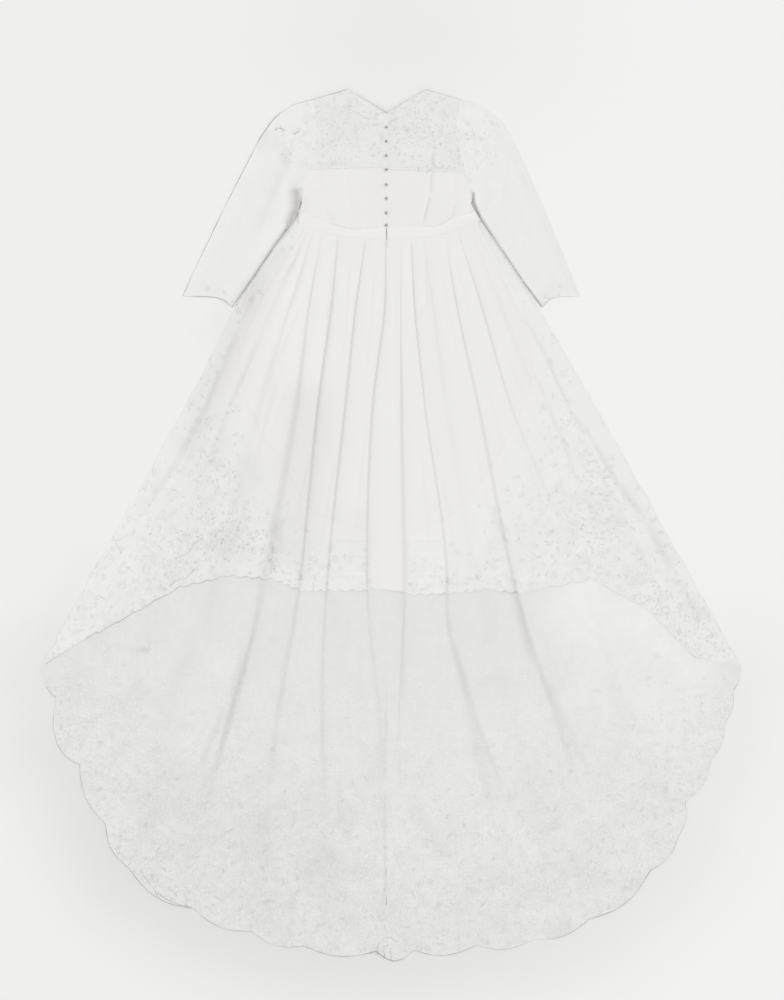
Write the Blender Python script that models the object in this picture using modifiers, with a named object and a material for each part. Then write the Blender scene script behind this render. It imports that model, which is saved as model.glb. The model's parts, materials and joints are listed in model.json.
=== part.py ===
"""Long-sleeved lace wedding gown, laid flat with its back up and its train spread out.

The neck points along +Y, the train along -Y, and the gown lies on the plane Z = 0.
Sizes are in millimetres, measured from the centre back of the waist; meshes are in metres.
Each cloth piece is an open grid of quads, thickened upwards by a Solidify modifier.
"""

import math

import bpy
import numpy as np
from mathutils import Vector

MM = 0.001

# Cloth
SATIN_WALL = 1.5
TULLE_WALL = 1.2
LACE_WALL = 1.1
BAND_WALL = 1.8
SEAM = 0.3              # gap where pieces are sewn edge to edge
LAYER = 0.6             # gap between a panel and the lace that lies on it

# Waist and bodice
WAIST_LOW = 5.0         # lower edge of the waistband at the centre
WAIST_LIFT = 49.0       # how much higher that edge is at the sides
WAIST_HALF = 245.0
WAIST_POWER = 2.4
BAND_HEIGHT = 32.0
BAND_LEFT = 236.0       # half widths of the waistband's lower edge
BAND_RIGHT = 256.0
BAND_TOP = 238.0
BODICE_CROWN = 2.2      # how far the back of the bodice rounds up over the front
NECKBAND = 24.0

# Skirt
HIP_Y = -180.0
SKIRT_COLUMNS = (0.0, 0.36, 0.64, 0.84)     # places across one pleat
FRONT_COLUMNS = (0.0, 0.5)
SKIRT_STEP = 0.13       # share of a pleat's width that its crest drops over
SKIRT_FLAT = 0.08       # share that lies flat to the right of its line
FOOT = 0.03             # share that lies flat to the left of the next line
SKIRT_ROWS = 12
PLEAT_PER_WIDTH = 0.24  # a pleat is never taller than this share of its width
WAIST_PRESSED = 0.35    # what is left of a pleat's height where it meets the waistband
HEM_ROWS = 2            # rows of the skirt that the hem lace is made from
HEM_OVERHANG = 11.0
HEM_SCALLOP = 4         # columns of hem lace for each of its scallops
FRONT_SHORT = 0.4       # how far short the front hem stops, as a share of the last row
TUCK = 0.085            # the train reaches this far under the hem, in stations
TUCKED_SHARE = 0.8      # height of the train's folds under the hem, as a share of the pleats'

# Train
TRAIN_COLUMNS = (0.0, 0.2, 0.45, 0.7, 0.97)
TRAIN_STEP = 0.34
TRAIN_FLAT = 0.2
TRAIN_ROWS = 8
BORDER_ROWS = 6
SCALLOP_PARTS = 5
HEM_WAVE = 0.3          # what is left of a fold's height at the train's edge

# Sleeves
SLEEVE_THICK = 6.0      # thickness of the flattened sleeve
SLEEVE_ROUND = 2.6      # how far its folded edges round off
SLEEVE_RIDGES = ((0.80, 0.13, 4.5), (0.30, 0.20, 3.0))   # place across, half width, height
SLEEVE_GATHERS = 3      # gathers at the sleeve's head
GATHER_HEIGHT = 2.2
SLEEVE_ACROSS = 7
SLEEVE_RINGS = 11

# Buttons and their placket
BUTTON_RADIUS = 6.0
BUTTON_HEIGHT = 5.0
BUTTON_STEPS = 10
BUTTON_PROFILE = [(0.0, 1.0), (0.62, 0.78), (0.95, 0.35), (1.0, 0.1), (0.9, 0.0), (0.0, 0.0)]
BUTTON_Y = (309.0, 271.0, 232.0, 195.0, 154.0, 117.0, 78.0, 45.0)
PLACKET_HALF = 7.0

# Lines that run down the gown, from left to right: name; x at the waist and at the hip; x, y
# at the knee, at the skirt's hem, where the train's lace border starts and at the train's
# edge; height of the crest just left of the line, in the skirt and in the train.
LINES = [
    ("side_left", -236, -398, -606, -554, -930, -1144, -928, -1172, -920, -1198, 0, 0),
    ("satin_edge_left", -222, -370, -508, -522, -778, -1050, -838, -1210, -886, -1352, 5, 5),
    ("left_4", -208, -298, -414, -460, -558, -926, -680, -1236, -788, -1540, 8, 11),
    ("left_3", -194, -256, -326, -448, -428, -894, -558, -1278, -680, -1710, 11, 16),
    ("left_2", -172, -204, -238, -442, -336, -902, -418, -1268, -544, -1790, 13, 19),
    ("left_1", -128, -146, -182, -442, -228, -934, -284, -1312, -336, -1872, 15, 20),
    ("left_0", -52, -80, -106, -442, -156, -934, -160, -1344, -130, -1922, 14, 16),
    ("centre_left", 0, -1, -34, -454, -44, -934, -2, -1344, -2, -1920, 16, 12),
    ("centre_right", 42, 42, 48, -468, 58, -946, 36, -1344, 48, -1928, 11, 10),
    ("right_0", 68, 77, 110, -460, 172, -942, 274, -1340, 382, -1890, 13, 15),
    ("right_1", 104, 134, 176, -460, 264, -932, 374, -1332, 508, -1852, 10, 14),
    ("right_2", 162, 196, 260, -460, 360, -940, 492, -1344, 636, -1774, 13, 19),
    ("right_3", 194, 263, 350, -460, 550, -904, 662, -1268, 760, -1650, 11, 14),
    ("right_4", 222, 320, 444, -480, 698, -982, 782, -1236, 846, -1466, 9, 9),
    ("satin_edge_right", 240, 362, 522, -502, 832, -1120, 884, -1210, 906, -1312, 5, 5),
    ("side_right", 256, 412, 616, -534, 954, -1140, 954, -1160, 952, -1182, 3, 3),
]
SATIN_LEFT, CENTRE_LEFT, CENTRE_RIGHT, SATIN_RIGHT, SIDE_RIGHT = 1, 7, 8, 14, 15
WAIST, HIP, KNEE, HEM, BORDER, EDGE = range(6)      # the stations down each line

# Corners of the train's edge, from left to right: x, y; depth of the scallop that starts
# there, as a share of its width
SCALLOPS = [
    (-920, -1198, 0.08), (-886, -1234, 0.10), (-890, -1352, 0.12), (-828, -1410, 0.12),
    (-758, -1572, 0.13), (-696, -1690, 0.13), (-520, -1800, 0.12), (-366, -1860, 0.13),
    (-222, -1900, 0.11), (-28, -1914, 0.28), (72, -1912, 0.12), (242, -1898, 0.12),
    (398, -1882, 0.12), (546, -1828, 0.13), (712, -1696, 0.13), (788, -1604, 0.12),
    (806, -1512, 0.13), (876, -1398, 0.12), (912, -1304, 0.10), (936, -1210, 0.06),
    (952, -1182, 0.0),
]

# Half of the bodice, from the waist up: name; x, y at the centre; x, y at the side
BODICE_SECTIONS = [
    ("waist", 0, 40, 238, 84),
    ("rib", 0, 90, 228, 104),
    ("armpit", 0, 150, 238, 136),
    ("yoke_line", 0, 207, 204, 201),
    ("shoulder_blade", 0, 290, 188, 288),
    ("v_point", 0, 348, 192, 340),
    ("neckline", 52, 380, 195, 365),
    ("shoulder", 106, 411, 198, 384),
]
SECTION_STEPS = len(BODICE_SECTIONS) - 1
YOKE_SHARE = 3 / SECTION_STEPS
V_SHARE = 5 / SECTION_STEPS

# One sleeve, from the armhole to the cuff: name; x, y at its outer edge; x, y at its inner
# edge; how much wider the left sleeve reaches
SLEEVE_SECTIONS = [
    ("armhole", 198, 384, 238, 136, 0),
    ("cap", 250, 370, 250, 103, 0),
    ("upper", 300, 336, 263, 73, 0),
    ("above_elbow", 338, 280, 285, 34, 2),
    ("elbow", 372, 205, 311, -2, 6),
    ("below_elbow", 418, 104, 347, -58, 12),
    ("forearm", 468, -16, 386, -118, 20),
    ("cuff", 521, -146, 425, -176, 28),
]


# ---------------------------------------------------------------- materials and sheets

def material(name, colour, roughness, sheen):
    shader = bpy.data.materials.new(name)
    shader.use_nodes = True
    principled = shader.node_tree.nodes["Principled BSDF"]
    principled.inputs["Base Color"].default_value = (*colour, 1.0)
    principled.inputs["Roughness"].default_value = roughness
    principled.inputs["Metallic"].default_value = 0.0
    principled.inputs["Sheen Weight"].default_value = sheen
    shader.diffuse_color = (*colour, 1.0)
    return shader


def add_object(name, mesh, shader):
    mesh.materials.append(shader)
    thing = bpy.data.objects.new(name, mesh)
    gown.objects.link(thing)
    thing.parent = origin
    return thing


def grid_mesh(name, points, closed=False):
    """A grid of points (rows, columns, xyz in millimetres) as a mesh of quads."""
    rows, columns = points.shape[:2]
    faces = []
    for row in range(rows - 1):
        for column in range(columns if closed else columns - 1):
            beside = (column + 1) % columns
            upper, lower = row * columns, (row + 1) * columns
            faces.append((upper + column, lower + column, lower + beside, upper + beside))
    mesh = bpy.data.meshes.new(name)
    mesh.from_pydata((points.reshape(-1, 3) * MM).tolist(), [], faces)
    mesh.update()
    mesh.shade_smooth()
    return mesh


def face_up(points):
    """Turn the order of the columns round where the grid's faces would look down."""
    across_x, across_y = points[0, -1, :2] - points[0, 0, :2]
    down_x, down_y = points[-1, 0, :2] - points[0, 0, :2]
    return points[:, ::-1] if down_x * across_y < down_y * across_x else points


def thicken(thing, wall, offset):
    solidify = thing.modifiers.new("wall", 'SOLIDIFY')
    solidify.thickness = wall * MM
    solidify.offset = offset
    return thing


def cloth(name, points, wall, shader):
    """A sheet from its lower face, thickened upwards."""
    return thicken(add_object(name, grid_mesh(name, face_up(points)), shader), wall, 1.0)


def moved_out(points, distance):
    """The same grid moved along its normals: what lies on a panel is made from its points."""
    points = face_up(points)
    mesh = grid_mesh("moved_out", points)
    normals = np.array([vertex.normal[:] for vertex in mesh.vertices])
    bpy.data.meshes.remove(mesh)
    return points + normals.reshape(points.shape) * distance


def steps(start, stop, count):
    return [start + (stop - start) * i / count for i in range(count + 1)]


def smooth(t):
    t = min(max(t, 0.0), 1.0)
    return t * t * (3.0 - 2.0 * t)


# ---------------------------------------------------------------- lines of the skirt

def waist_edge(x):
    """Height of the waistband's lower edge, which dips at the centre."""
    return WAIST_LOW + WAIST_LIFT * (abs(x) / WAIST_HALF) ** WAIST_POWER


def line_stations(line):
    _, waist, hip, *places, _, _ = line
    pairs = list(zip(places[::2], places[1::2]))
    first = (waist, waist_edge(waist) - SEAM)
    return [Vector(pair) for pair in (first, (hip, HIP_Y), *pairs)]


STATIONS = [line_stations(line) for line in LINES]


def tangent(stops, stop):
    """Direction of a line at a stop, no longer than the shorter of its two stretches."""
    before = stops[stop] - stops[stop - 1] if stop > WAIST else stops[1] - stops[0]
    after = stops[stop + 1] - stops[stop] if stop < EDGE else before
    direction = (before.normalized() + after.normalized()).normalized()
    return direction * min(before.length, after.length)


def along_line(index, station):
    """A point on one line, on a smooth curve through its stations."""
    stops = STATIONS[index]
    low = min(int(station), EDGE - 1)
    t = station - low
    t2, t3 = t * t, t * t * t
    return (
        stops[low] * (2 * t3 - 3 * t2 + 1) + tangent(stops, low) * (t3 - 2 * t2 + t)
        + stops[low + 1] * (3 * t2 - 2 * t3) + tangent(stops, low + 1) * (t3 - t2)
    )


def between_lines(place, station):
    """The point at a place between the lines, such as 3.4, and the lines' distance there."""
    low = min(int(place), SIDE_RIGHT - 1)
    left, right = along_line(low, station), along_line(low + 1, station)
    point = left.lerp(right, place - low)
    if station == WAIST:
        point.y = waist_edge(point.x) - SEAM
    return point, (right - left).length


def fold_height(place, station, width, hem_share=1.0):
    """Each fold rises slowly from left to right, then steps down at its line."""
    low = min(int(place), SIDE_RIGHT - 1)
    inside = place - low
    pleat, wave = LINES[low + 1][-2:]
    loose = smooth(station - HEM)
    height = min(pleat * hem_share * (1 - loose) + wave * loose, PLEAT_PER_WIDTH * width)
    height *= WAIST_PRESSED + (1 - WAIST_PRESSED) * smooth(station)
    height *= 1 - (1 - HEM_WAVE) * smooth(station - BORDER)
    step = SKIRT_STEP + (TRAIN_STEP - SKIRT_STEP) * loose
    flat = SKIRT_FLAT + (TRAIN_FLAT - SKIRT_FLAT) * loose
    rise = smooth((inside - flat) / (1 - FOOT - step - flat))
    return height * rise * smooth((1 - FOOT - inside) / step)


def places(first, last, columns):
    """The columns of a panel between two lines, which lies flat at both its seams."""
    found = {round(low + share, 3) for low in range(first, last) for share in columns}
    return sorted(found | {round(first + SKIRT_FLAT, 3), round(last - FOOT, 3), float(last)})


def skirt_grid(first, last, stations, base, columns=SKIRT_COLUMNS, trim=SEAM / 2):
    """A panel between two lines, a little narrower on each side for its seams."""
    rows = []
    for station in stations:
        row = []
        for place in places(first, last, columns):
            point, width = between_lines(place, station)
            shift = trim if place == first else -trim if place == last else 0.0
            row.append((point.x + shift, point.y, base + fold_height(place, station, width)))
        rows.append(row)
    return np.array(rows)


# ---------------------------------------------------------------- skirt

BACK_BASE = SATIN_WALL + SEAM       # underside of the back, which lies on the front


def make_front_skirt():
    stations = steps(WAIST, HEM, SKIRT_ROWS)
    grid = skirt_grid(SATIN_LEFT, SATIN_RIGHT, stations, 0.0, columns=FRONT_COLUMNS)
    grid[:, :, 2] = 0.0
    grid[-1] += (grid[-2] - grid[-1]) * FRONT_SHORT
    cloth("front_skirt", grid, SATIN_WALL, satin)


def make_back_skirt():
    stations = steps(WAIST, HEM, SKIRT_ROWS)
    for name, first, last in (
        ("skirt_left", SATIN_LEFT, CENTRE_LEFT), ("centre_panel", CENTRE_LEFT, CENTRE_RIGHT),
        ("skirt_right", CENTRE_RIGHT, SATIN_RIGHT),
    ):
        cloth(name, skirt_grid(first, last, stations, BACK_BASE), SATIN_WALL, satin)


def make_overlays():
    """Past the satin's edges only tulle and lace lie on the surface."""
    stations = steps(WAIST, HEM, SKIRT_ROWS)
    for name, first in (("overlay_left", 0), ("overlay_right", SATIN_RIGHT)):
        grid = skirt_grid(first, first + 1, stations, 0.0, columns=(0.0, 0.45))
        cloth(name, grid, TULLE_WALL, lace)


def make_hem_lace():
    """Lace on the skirt's hem, with a scalloped edge that hangs past it."""
    stations = steps(WAIST, HEM, SKIRT_ROWS)[-HEM_ROWS - 1:]
    for name, first, last in (
        ("hem_lace_left", SATIN_LEFT, CENTRE_LEFT), ("hem_lace_right", CENTRE_RIGHT, SATIN_RIGHT),
    ):
        panel = skirt_grid(first, last, stations, BACK_BASE)
        grid = moved_out(panel, SATIN_WALL + LAYER)[1:]
        halfway = (grid[:, :-1] + grid[:, 1:]) / 2
        fine = np.empty((grid.shape[0], grid.shape[1] * 2 - 1, 3))
        fine[:, ::2], fine[:, 1::2] = grid, halfway
        down = fine[-1] - fine[-2]
        down[:, 2] = 0.0
        down /= np.linalg.norm(down, axis=1)[:, None]
        turns = np.arange(fine.shape[1]) / HEM_SCALLOP
        reach = HEM_OVERHANG * (0.35 + 0.65 * np.abs(np.sin(math.pi * turns)))
        edge = fine[-1] + down * reach[:, None]
        cloth(name, np.concatenate([fine, edge[None]]), LACE_WALL, lace)


# ---------------------------------------------------------------- train

def make_train():
    """Sheer tulle from under the skirt's hem to where the lace border starts."""
    rows = []
    for share in steps(0.0, 1.0, TRAIN_ROWS):
        row = []
        for place in places(0, SIDE_RIGHT, TRAIN_COLUMNS):
            tucked = SATIN_LEFT < place < SATIN_RIGHT
            start = HEM - TUCK if tucked else HEM
            station = start + (BORDER - start) * share
            point, width = between_lines(place, station)
            gap = 0.0 if tucked or share else SEAM
            z = fold_height(place, station, width, TUCKED_SHARE)
            row.append((point.x, point.y - gap, z))
        rows.append(row)
    cloth("train_tulle", np.array(rows), TULLE_WALL, tulle)


def edge_lengths():
    """How far along the train's edge each of its corners lies."""
    corners = np.array([corner[:2] for corner in SCALLOPS], float)
    runs = np.linalg.norm(np.diff(corners, axis=0), axis=1)
    return corners, np.concatenate([[0.0], np.cumsum(runs)])


def lines_at_edge(corners, lengths):
    """How far along the train's edge each line meets it."""
    found = []
    for stops in STATIONS:
        end = np.array(stops[EDGE])
        nearest = []
        for start, stop, before in zip(corners, corners[1:], lengths):
            run = stop - start
            t = min(max((end - start) @ run / (run @ run), 0.0), 1.0)
            nearest.append((np.linalg.norm(start + run * t - end), before + t * math.hypot(*run)))
        found.append(min(nearest)[1])
    found[0], found[-1] = 0.0, lengths[-1]
    return found


def edge_point(length, corners, lengths):
    """A point of the scalloped edge: each scallop is an arc over its chord."""
    low = min(int(np.searchsorted(lengths, length, side="right")) - 1, len(corners) - 2)
    run = corners[low + 1] - corners[low]
    wide = lengths[low + 1] - lengths[low]
    share = (length - lengths[low]) / wide
    outward = np.array((run[1], -run[0])) / wide
    bulge = SCALLOPS[low][2] * wide * math.sin(math.pi * share)
    return corners[low] + run * share + outward * bulge


def make_train_border():
    """The wide lace border, sewn to the tulle edge to edge, with a column at each line."""
    corners, lengths = edge_lengths()
    meets = lines_at_edge(corners, lengths)
    along = set(meets)
    for start, stop in zip(lengths, lengths[1:]):
        along.update(steps(start, stop, SCALLOP_PARTS))
    spread = []
    for length in sorted(along):
        if not spread or length - spread[-1] > SEAM * 10 or length in meets:
            spread.append(length)
    rows = []
    for share in steps(0.0, 1.0, BORDER_ROWS):
        row = []
        for length in spread:
            place = float(np.interp(length, meets, range(len(meets))))
            inner, width = between_lines(place, BORDER)
            outer = Vector(edge_point(length, corners, lengths))
            inner += (outer - inner).normalized() * SEAM * 2
            point = inner.lerp(outer, share)
            row.append((point.x, point.y, fold_height(place, BORDER + share, width)))
        rows.append(row)
    cloth("train_border", np.array(rows), LACE_WALL, lace)


# ---------------------------------------------------------------- bodice

LACE_BASE = SATIN_WALL + SEAM       # the lace's height over the underbodice's lower face
TRIM_BASE = LACE_BASE + LACE_WALL + SEAM


def bodice_point(share, up, side, base=BACK_BASE):
    """A point of the back: its share of the way out to the side, and of the way up."""
    place = up * SECTION_STEPS
    low = min(int(place), SECTION_STEPS - 1)
    here = np.array(BODICE_SECTIONS[low][1:], float)
    there = np.array(BODICE_SECTIONS[low + 1][1:], float)
    centre_x, centre_y, side_x, side_y = here + (there - here) * (place - low)
    x = centre_x + (side_x - centre_x) * share
    y = centre_y + (side_y - centre_y) * share
    if up == 0.0:
        y = waist_edge(x) + BAND_HEIGHT + SEAM * 2
    crown = BODICE_CROWN * (1 - share ** 2) * math.sin(math.pi * up)
    return side * (x + (SEAM / 2 if share == 0.0 else 0.0)), y, base + crown


def bodice_grid(side, low, high, rows, columns=6):
    return np.array([
        [bodice_point(share, up, side) for share in steps(0.0, 1.0, columns)]
        for up in steps(low, high, rows)
    ])


def make_front_bodice():
    """The front is flat, and its two mirrored halves are one piece."""
    half = bodice_grid(1, 0.0, 1.0, SECTION_STEPS, columns=4)
    half[:, :, 2] = 0.0
    half[half[:, :, 0] < SEAM, 0] = 0.0
    front = add_object("front_bodice", grid_mesh("front_bodice", face_up(half)), satin)
    mirror = front.modifiers.new("other_half", 'MIRROR')
    mirror.merge_threshold = 0.0001
    thicken(front, SATIN_WALL, 1.0)


def make_back_bodice():
    for name, side in (("left", -1), ("right", 1)):
        under = bodice_grid(side, 0.0, YOKE_SHARE, 3)
        cloth(f"underbodice_{name}", under, SATIN_WALL, satin)
        over = moved_out(bodice_grid(side, 0.0, 1.0, SECTION_STEPS), LACE_BASE)
        cloth(f"lace_back_{name}", over, LACE_WALL, lace)


def make_neckbands():
    """A narrow band of lace along each side of the V."""
    for name, side in (("left", -1), ("right", 1)):
        rows = []
        for up in steps(V_SHARE, 1.0, SECTION_STEPS - 5):
            inner = np.array(bodice_point(0.0, up, side, BACK_BASE + TRIM_BASE))
            outer = np.array(bodice_point(1.0, up, side, BACK_BASE + TRIM_BASE))
            share = NECKBAND / np.linalg.norm(outer - inner)
            rows.append([
                bodice_point(share * step, up, side, BACK_BASE + TRIM_BASE)
                for step in steps(0.0, 1.0, 2)
            ])
        cloth(f"neckband_{name}", np.array(rows), LACE_WALL, lace)


def placket_height(y):
    """Lower face of the placket, which lies on the lace."""
    centre = [section[2] for section in BODICE_SECTIONS]
    up = float(np.interp(y, centre, steps(0.0, 1.0, SECTION_STEPS)))
    return bodice_point(0.0, up, 1, BACK_BASE + TRIM_BASE)[2]


def make_placket():
    low = waist_edge(0.0) + BAND_HEIGHT + SEAM * 3
    high = BODICE_SECTIONS[5][2] - SEAM * 4
    grid = np.array([
        [(x, y, placket_height(y)) for x in (-PLACKET_HALF, 0.0, PLACKET_HALF)]
        for y in steps(low, high, SECTION_STEPS)
    ])
    cloth("placket", grid, TULLE_WALL, satin)


def make_buttons():
    """Covered buttons: a domed profile turned about the button's own axis."""
    width, height = BUTTON_RADIUS * MM, BUTTON_HEIGHT * MM
    points = [(r * width, 0.0, z * height) for r, z in BUTTON_PROFILE]
    for index, y in enumerate(BUTTON_Y, 1):
        mesh = bpy.data.meshes.new(f"button_{index}")
        mesh.from_pydata(points, [(i, i + 1) for i in range(len(points) - 1)], [])
        button = add_object(f"button_{index}", mesh, satin)
        button.location = (0.0, y * MM, (placket_height(y) + TULLE_WALL + SEAM) * MM)
        screw = button.modifiers.new("turn", 'SCREW')
        screw.steps = screw.render_steps = BUTTON_STEPS
        screw.use_merge_vertices = True
        screw.merge_threshold = 0.00001


def band_grid(columns, base):
    """A band whose lower edge has the skirt's columns, between the skirt and the bodice."""
    rows = []
    for share in (0.0, 0.5, 1.0):
        row = []
        for place in columns:
            low = between_lines(place, WAIST)[0].x
            top = low * BAND_TOP / (BAND_LEFT if low < 0 else BAND_RIGHT)
            low_y, top_y = waist_edge(low), waist_edge(top) + BAND_HEIGHT
            row.append((low + (top - low) * share, low_y + (top_y - low_y) * share, base))
        rows.append(row)
    return np.array(rows)


def make_waistbands():
    front = band_grid(places(0, SIDE_RIGHT, FRONT_COLUMNS), 0.0)
    cloth("front_waistband", front, SATIN_WALL, satin)
    left = band_grid(places(0, CENTRE_LEFT, SKIRT_COLUMNS), BACK_BASE)
    left[:, -1, 0] -= SEAM / 2
    cloth("waistband_left", left, BAND_WALL, satin)
    right = band_grid(places(CENTRE_LEFT, SIDE_RIGHT, SKIRT_COLUMNS), BACK_BASE)
    right[:, 0, 0] += SEAM / 2
    cloth("waistband_right", right, BAND_WALL, satin)


# ---------------------------------------------------------------- sleeves

def crease(share, along):
    """Soft ridges that run down the sleeve and fade at its cuff, and gathers at its head."""
    ridges = sum(
        height * math.exp(-((share - middle) / half) ** 2)
        for middle, half, height in SLEEVE_RIDGES
    )
    gathers = GATHER_HEIGHT * math.cos(share * SLEEVE_GATHERS * 2 * math.pi) ** 2
    return ridges * smooth(along * 6) * (1 - 0.6 * along) + gathers * (1 - smooth(along * 4))


def armhole_bow(share):
    """How far the armhole curves off the straight line from the shoulder to the armpit."""
    shoulder, armpit = BODICE_SECTIONS[-1], BODICE_SECTIONS[2]
    heights = [section[4] for section in BODICE_SECTIONS[2:]]
    edges = [section[3] for section in BODICE_SECTIONS[2:]]
    straight_x = shoulder[3] + (armpit[3] - shoulder[3]) * share
    straight_y = shoulder[4] + (armpit[4] - shoulder[4]) * share
    return float(np.interp(straight_y, heights, edges)) - straight_x


def sleeve_ring(outer, inner, along):
    """One flattened ring: over the top from the outer edge, and back along the floor."""
    run = inner - outer
    bow = 1 - smooth(along * 3)

    def place(share, z):
        inset = run.normalized() * SLEEVE_ROUND * (1 - 2 * share)
        point = outer + inset + run * share
        return point.x + SEAM * 2 + bow * armhole_bow(min(max(share, 0.0), 1.0)), point.y, z

    shares = steps(0.0, 1.0, SLEEVE_ACROSS - 1)
    top = [place(share, SLEEVE_THICK + crease(share, along)) for share in shares]
    floor = [place(share, 0.0) for share in reversed(shares)]
    edge_share = SLEEVE_ROUND / run.length
    first = place(-edge_share, SLEEVE_THICK / 2)
    last = place(1 + edge_share, SLEEVE_THICK / 2)
    return [first, *top, last, *floor]


def sleeve_section(along, wider):
    place = along * (len(SLEEVE_SECTIONS) - 1)
    low = min(int(place), len(SLEEVE_SECTIONS) - 2)
    here = np.array(SLEEVE_SECTIONS[low][1:], float)
    there = np.array(SLEEVE_SECTIONS[low + 1][1:], float)
    outer_x, outer_y, inner_x, inner_y, more = here + (there - here) * (place - low)
    return Vector((outer_x + more * wider, outer_y)), Vector((inner_x, inner_y))


def make_sleeves():
    """Each sleeve is a flattened tube, open at the armhole and at the cuff."""
    for name, side, wider in (("left", -1, 1.0), ("right", 1, 0.0)):
        rings = []
        for along in steps(0.0, 1.0, SLEEVE_RINGS - 1):
            ring = np.array(sleeve_ring(*sleeve_section(along, wider), along))
            ring[:, 0] *= side
            rings.append(ring if side < 0 else ring[::-1])
        mesh = grid_mesh(f"sleeve_{name}", np.array(rings), closed=True)
        thicken(add_object(f"sleeve_{name}", mesh, lace), LACE_WALL, -1.0)


# ---------------------------------------------------------------- build

def centre_origin():
    """Put the middle of the gown's outline over the world's origin."""
    bpy.context.view_layer.update()
    seen = bpy.context.evaluated_depsgraph_get()
    corners = []
    for thing in gown.objects:
        if thing.type == 'MESH':
            shown = thing.evaluated_get(seen)
            corners += [shown.matrix_world @ Vector(corner) for corner in shown.bound_box]
    for axis in (0, 1):
        values = [corner[axis] for corner in corners]
        origin.location[axis] = -(min(values) + max(values)) / 2


for old in list(bpy.data.objects):
    bpy.data.objects.remove(old, do_unlink=True)

gown = bpy.data.collections.new("lace_gown")
bpy.context.scene.collection.children.link(gown)
origin = bpy.data.objects.new("centre_back_of_waist", None)
gown.objects.link(origin)

satin = material("ivory_satin", (0.83, 0.82, 0.79), 0.42, 0.25)
lace = material("white_lace", (0.80, 0.80, 0.78), 0.75, 0.1)
tulle = material("white_tulle", (0.78, 0.78, 0.79), 0.8, 0.0)

make_front_bodice()
make_waistbands()
make_front_skirt()
make_sleeves()
make_back_bodice()
make_neckbands()
make_placket()
make_buttons()
make_back_skirt()
make_overlays()
make_hem_lace()
make_train()
make_train_border()
centre_origin()
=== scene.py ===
# %% [markdown]
# # A lace wedding gown, laid out flat
# The gown lies on the floor with its back up, seen straight from above. White cloth lies on
# white, so what tells one layer from the next is hardly ever colour: it is the soft shade
# beside a fold, the grain of the lace and the thin line where an edge meets what it lies on.
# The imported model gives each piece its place, and this script makes the cloth itself.

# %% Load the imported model
import json
import math

import bpy
import numpy as np
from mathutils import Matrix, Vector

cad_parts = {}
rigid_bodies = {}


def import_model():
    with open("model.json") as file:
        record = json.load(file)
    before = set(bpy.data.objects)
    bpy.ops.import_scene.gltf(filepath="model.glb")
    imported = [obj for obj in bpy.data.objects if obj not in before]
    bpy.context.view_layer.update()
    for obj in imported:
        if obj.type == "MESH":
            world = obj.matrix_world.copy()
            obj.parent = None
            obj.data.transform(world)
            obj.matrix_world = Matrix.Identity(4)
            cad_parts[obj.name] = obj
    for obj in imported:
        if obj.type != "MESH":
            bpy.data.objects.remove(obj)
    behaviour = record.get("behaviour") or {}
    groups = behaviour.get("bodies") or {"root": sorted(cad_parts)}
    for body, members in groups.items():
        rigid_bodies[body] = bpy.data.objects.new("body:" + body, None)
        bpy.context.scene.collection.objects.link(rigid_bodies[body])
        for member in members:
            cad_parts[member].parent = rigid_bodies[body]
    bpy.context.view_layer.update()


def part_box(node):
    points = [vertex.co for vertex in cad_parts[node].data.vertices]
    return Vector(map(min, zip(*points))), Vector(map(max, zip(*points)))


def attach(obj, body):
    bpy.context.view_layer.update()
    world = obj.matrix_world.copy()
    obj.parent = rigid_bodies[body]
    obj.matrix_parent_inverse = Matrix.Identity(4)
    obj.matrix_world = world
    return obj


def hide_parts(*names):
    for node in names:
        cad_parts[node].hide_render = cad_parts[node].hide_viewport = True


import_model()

# %% [markdown]
# ## Sizes
# A pattern cutter measures a gown from one fixed point. Here that is the centre back of the
# waist, and every size below is in millimetres from it: x to the right, y towards the neck.
# The lowest button sits on the centre back, so its place in the model ties both together.

# %% Sizes of the bodice, the waistband and the walls
MM = 0.001
BUTTON_Y = (309.0, 271.0, 232.0, 195.0, 154.0, 117.0, 78.0, 45.0)
low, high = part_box("button_8")
CENTRE_X = (low[0] + high[0]) / 2
WAIST_Y = (low[1] + high[1]) / 2 - BUTTON_Y[-1] * MM

WAIST_LOW, WAIST_LIFT, WAIST_HALF, WAIST_POWER = 5.0, 49.0, 245.0, 2.4
BAND_HEIGHT, BAND_LEFT, BAND_RIGHT, BAND_TOP = 32.0, 236.0, 256.0, 238.0
BODICE_CROWN, NECKBAND, HIP_Y, SEAM = 2.2, 24.0, -180.0, 0.3
FRONT_TOP = 1.5  # the upper face of the flat front, which lies on the floor
BACK_BASE = 1.8  # the back's underside, which lies on the front
SATIN_THICK, LACE_THICK = 1.5, 1.1  # the walls of the solids
SATIN_TOP = BACK_BASE + SATIN_THICK
LACE_TOP = SATIN_TOP + SEAM + LACE_THICK
TRIM_TOP = LACE_TOP + SEAM + LACE_THICK

# half of the bodice, from the waist up: name; x, y at the centre; x, y at the side
BODICE = [
    ("waist", 0, 40, 238, 84), ("rib", 0, 90, 228, 104), ("armpit", 0, 150, 238, 136),
    ("yoke_line", 0, 207, 204, 201), ("shoulder_blade", 0, 290, 188, 288),
    ("v_point", 0, 348, 192, 340), ("neckline", 52, 380, 195, 365),
    ("shoulder", 106, 411, 198, 384),
]
YOKE, V_POINT = 3 / 7, 5 / 7  # shares of the way up the bodice

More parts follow.
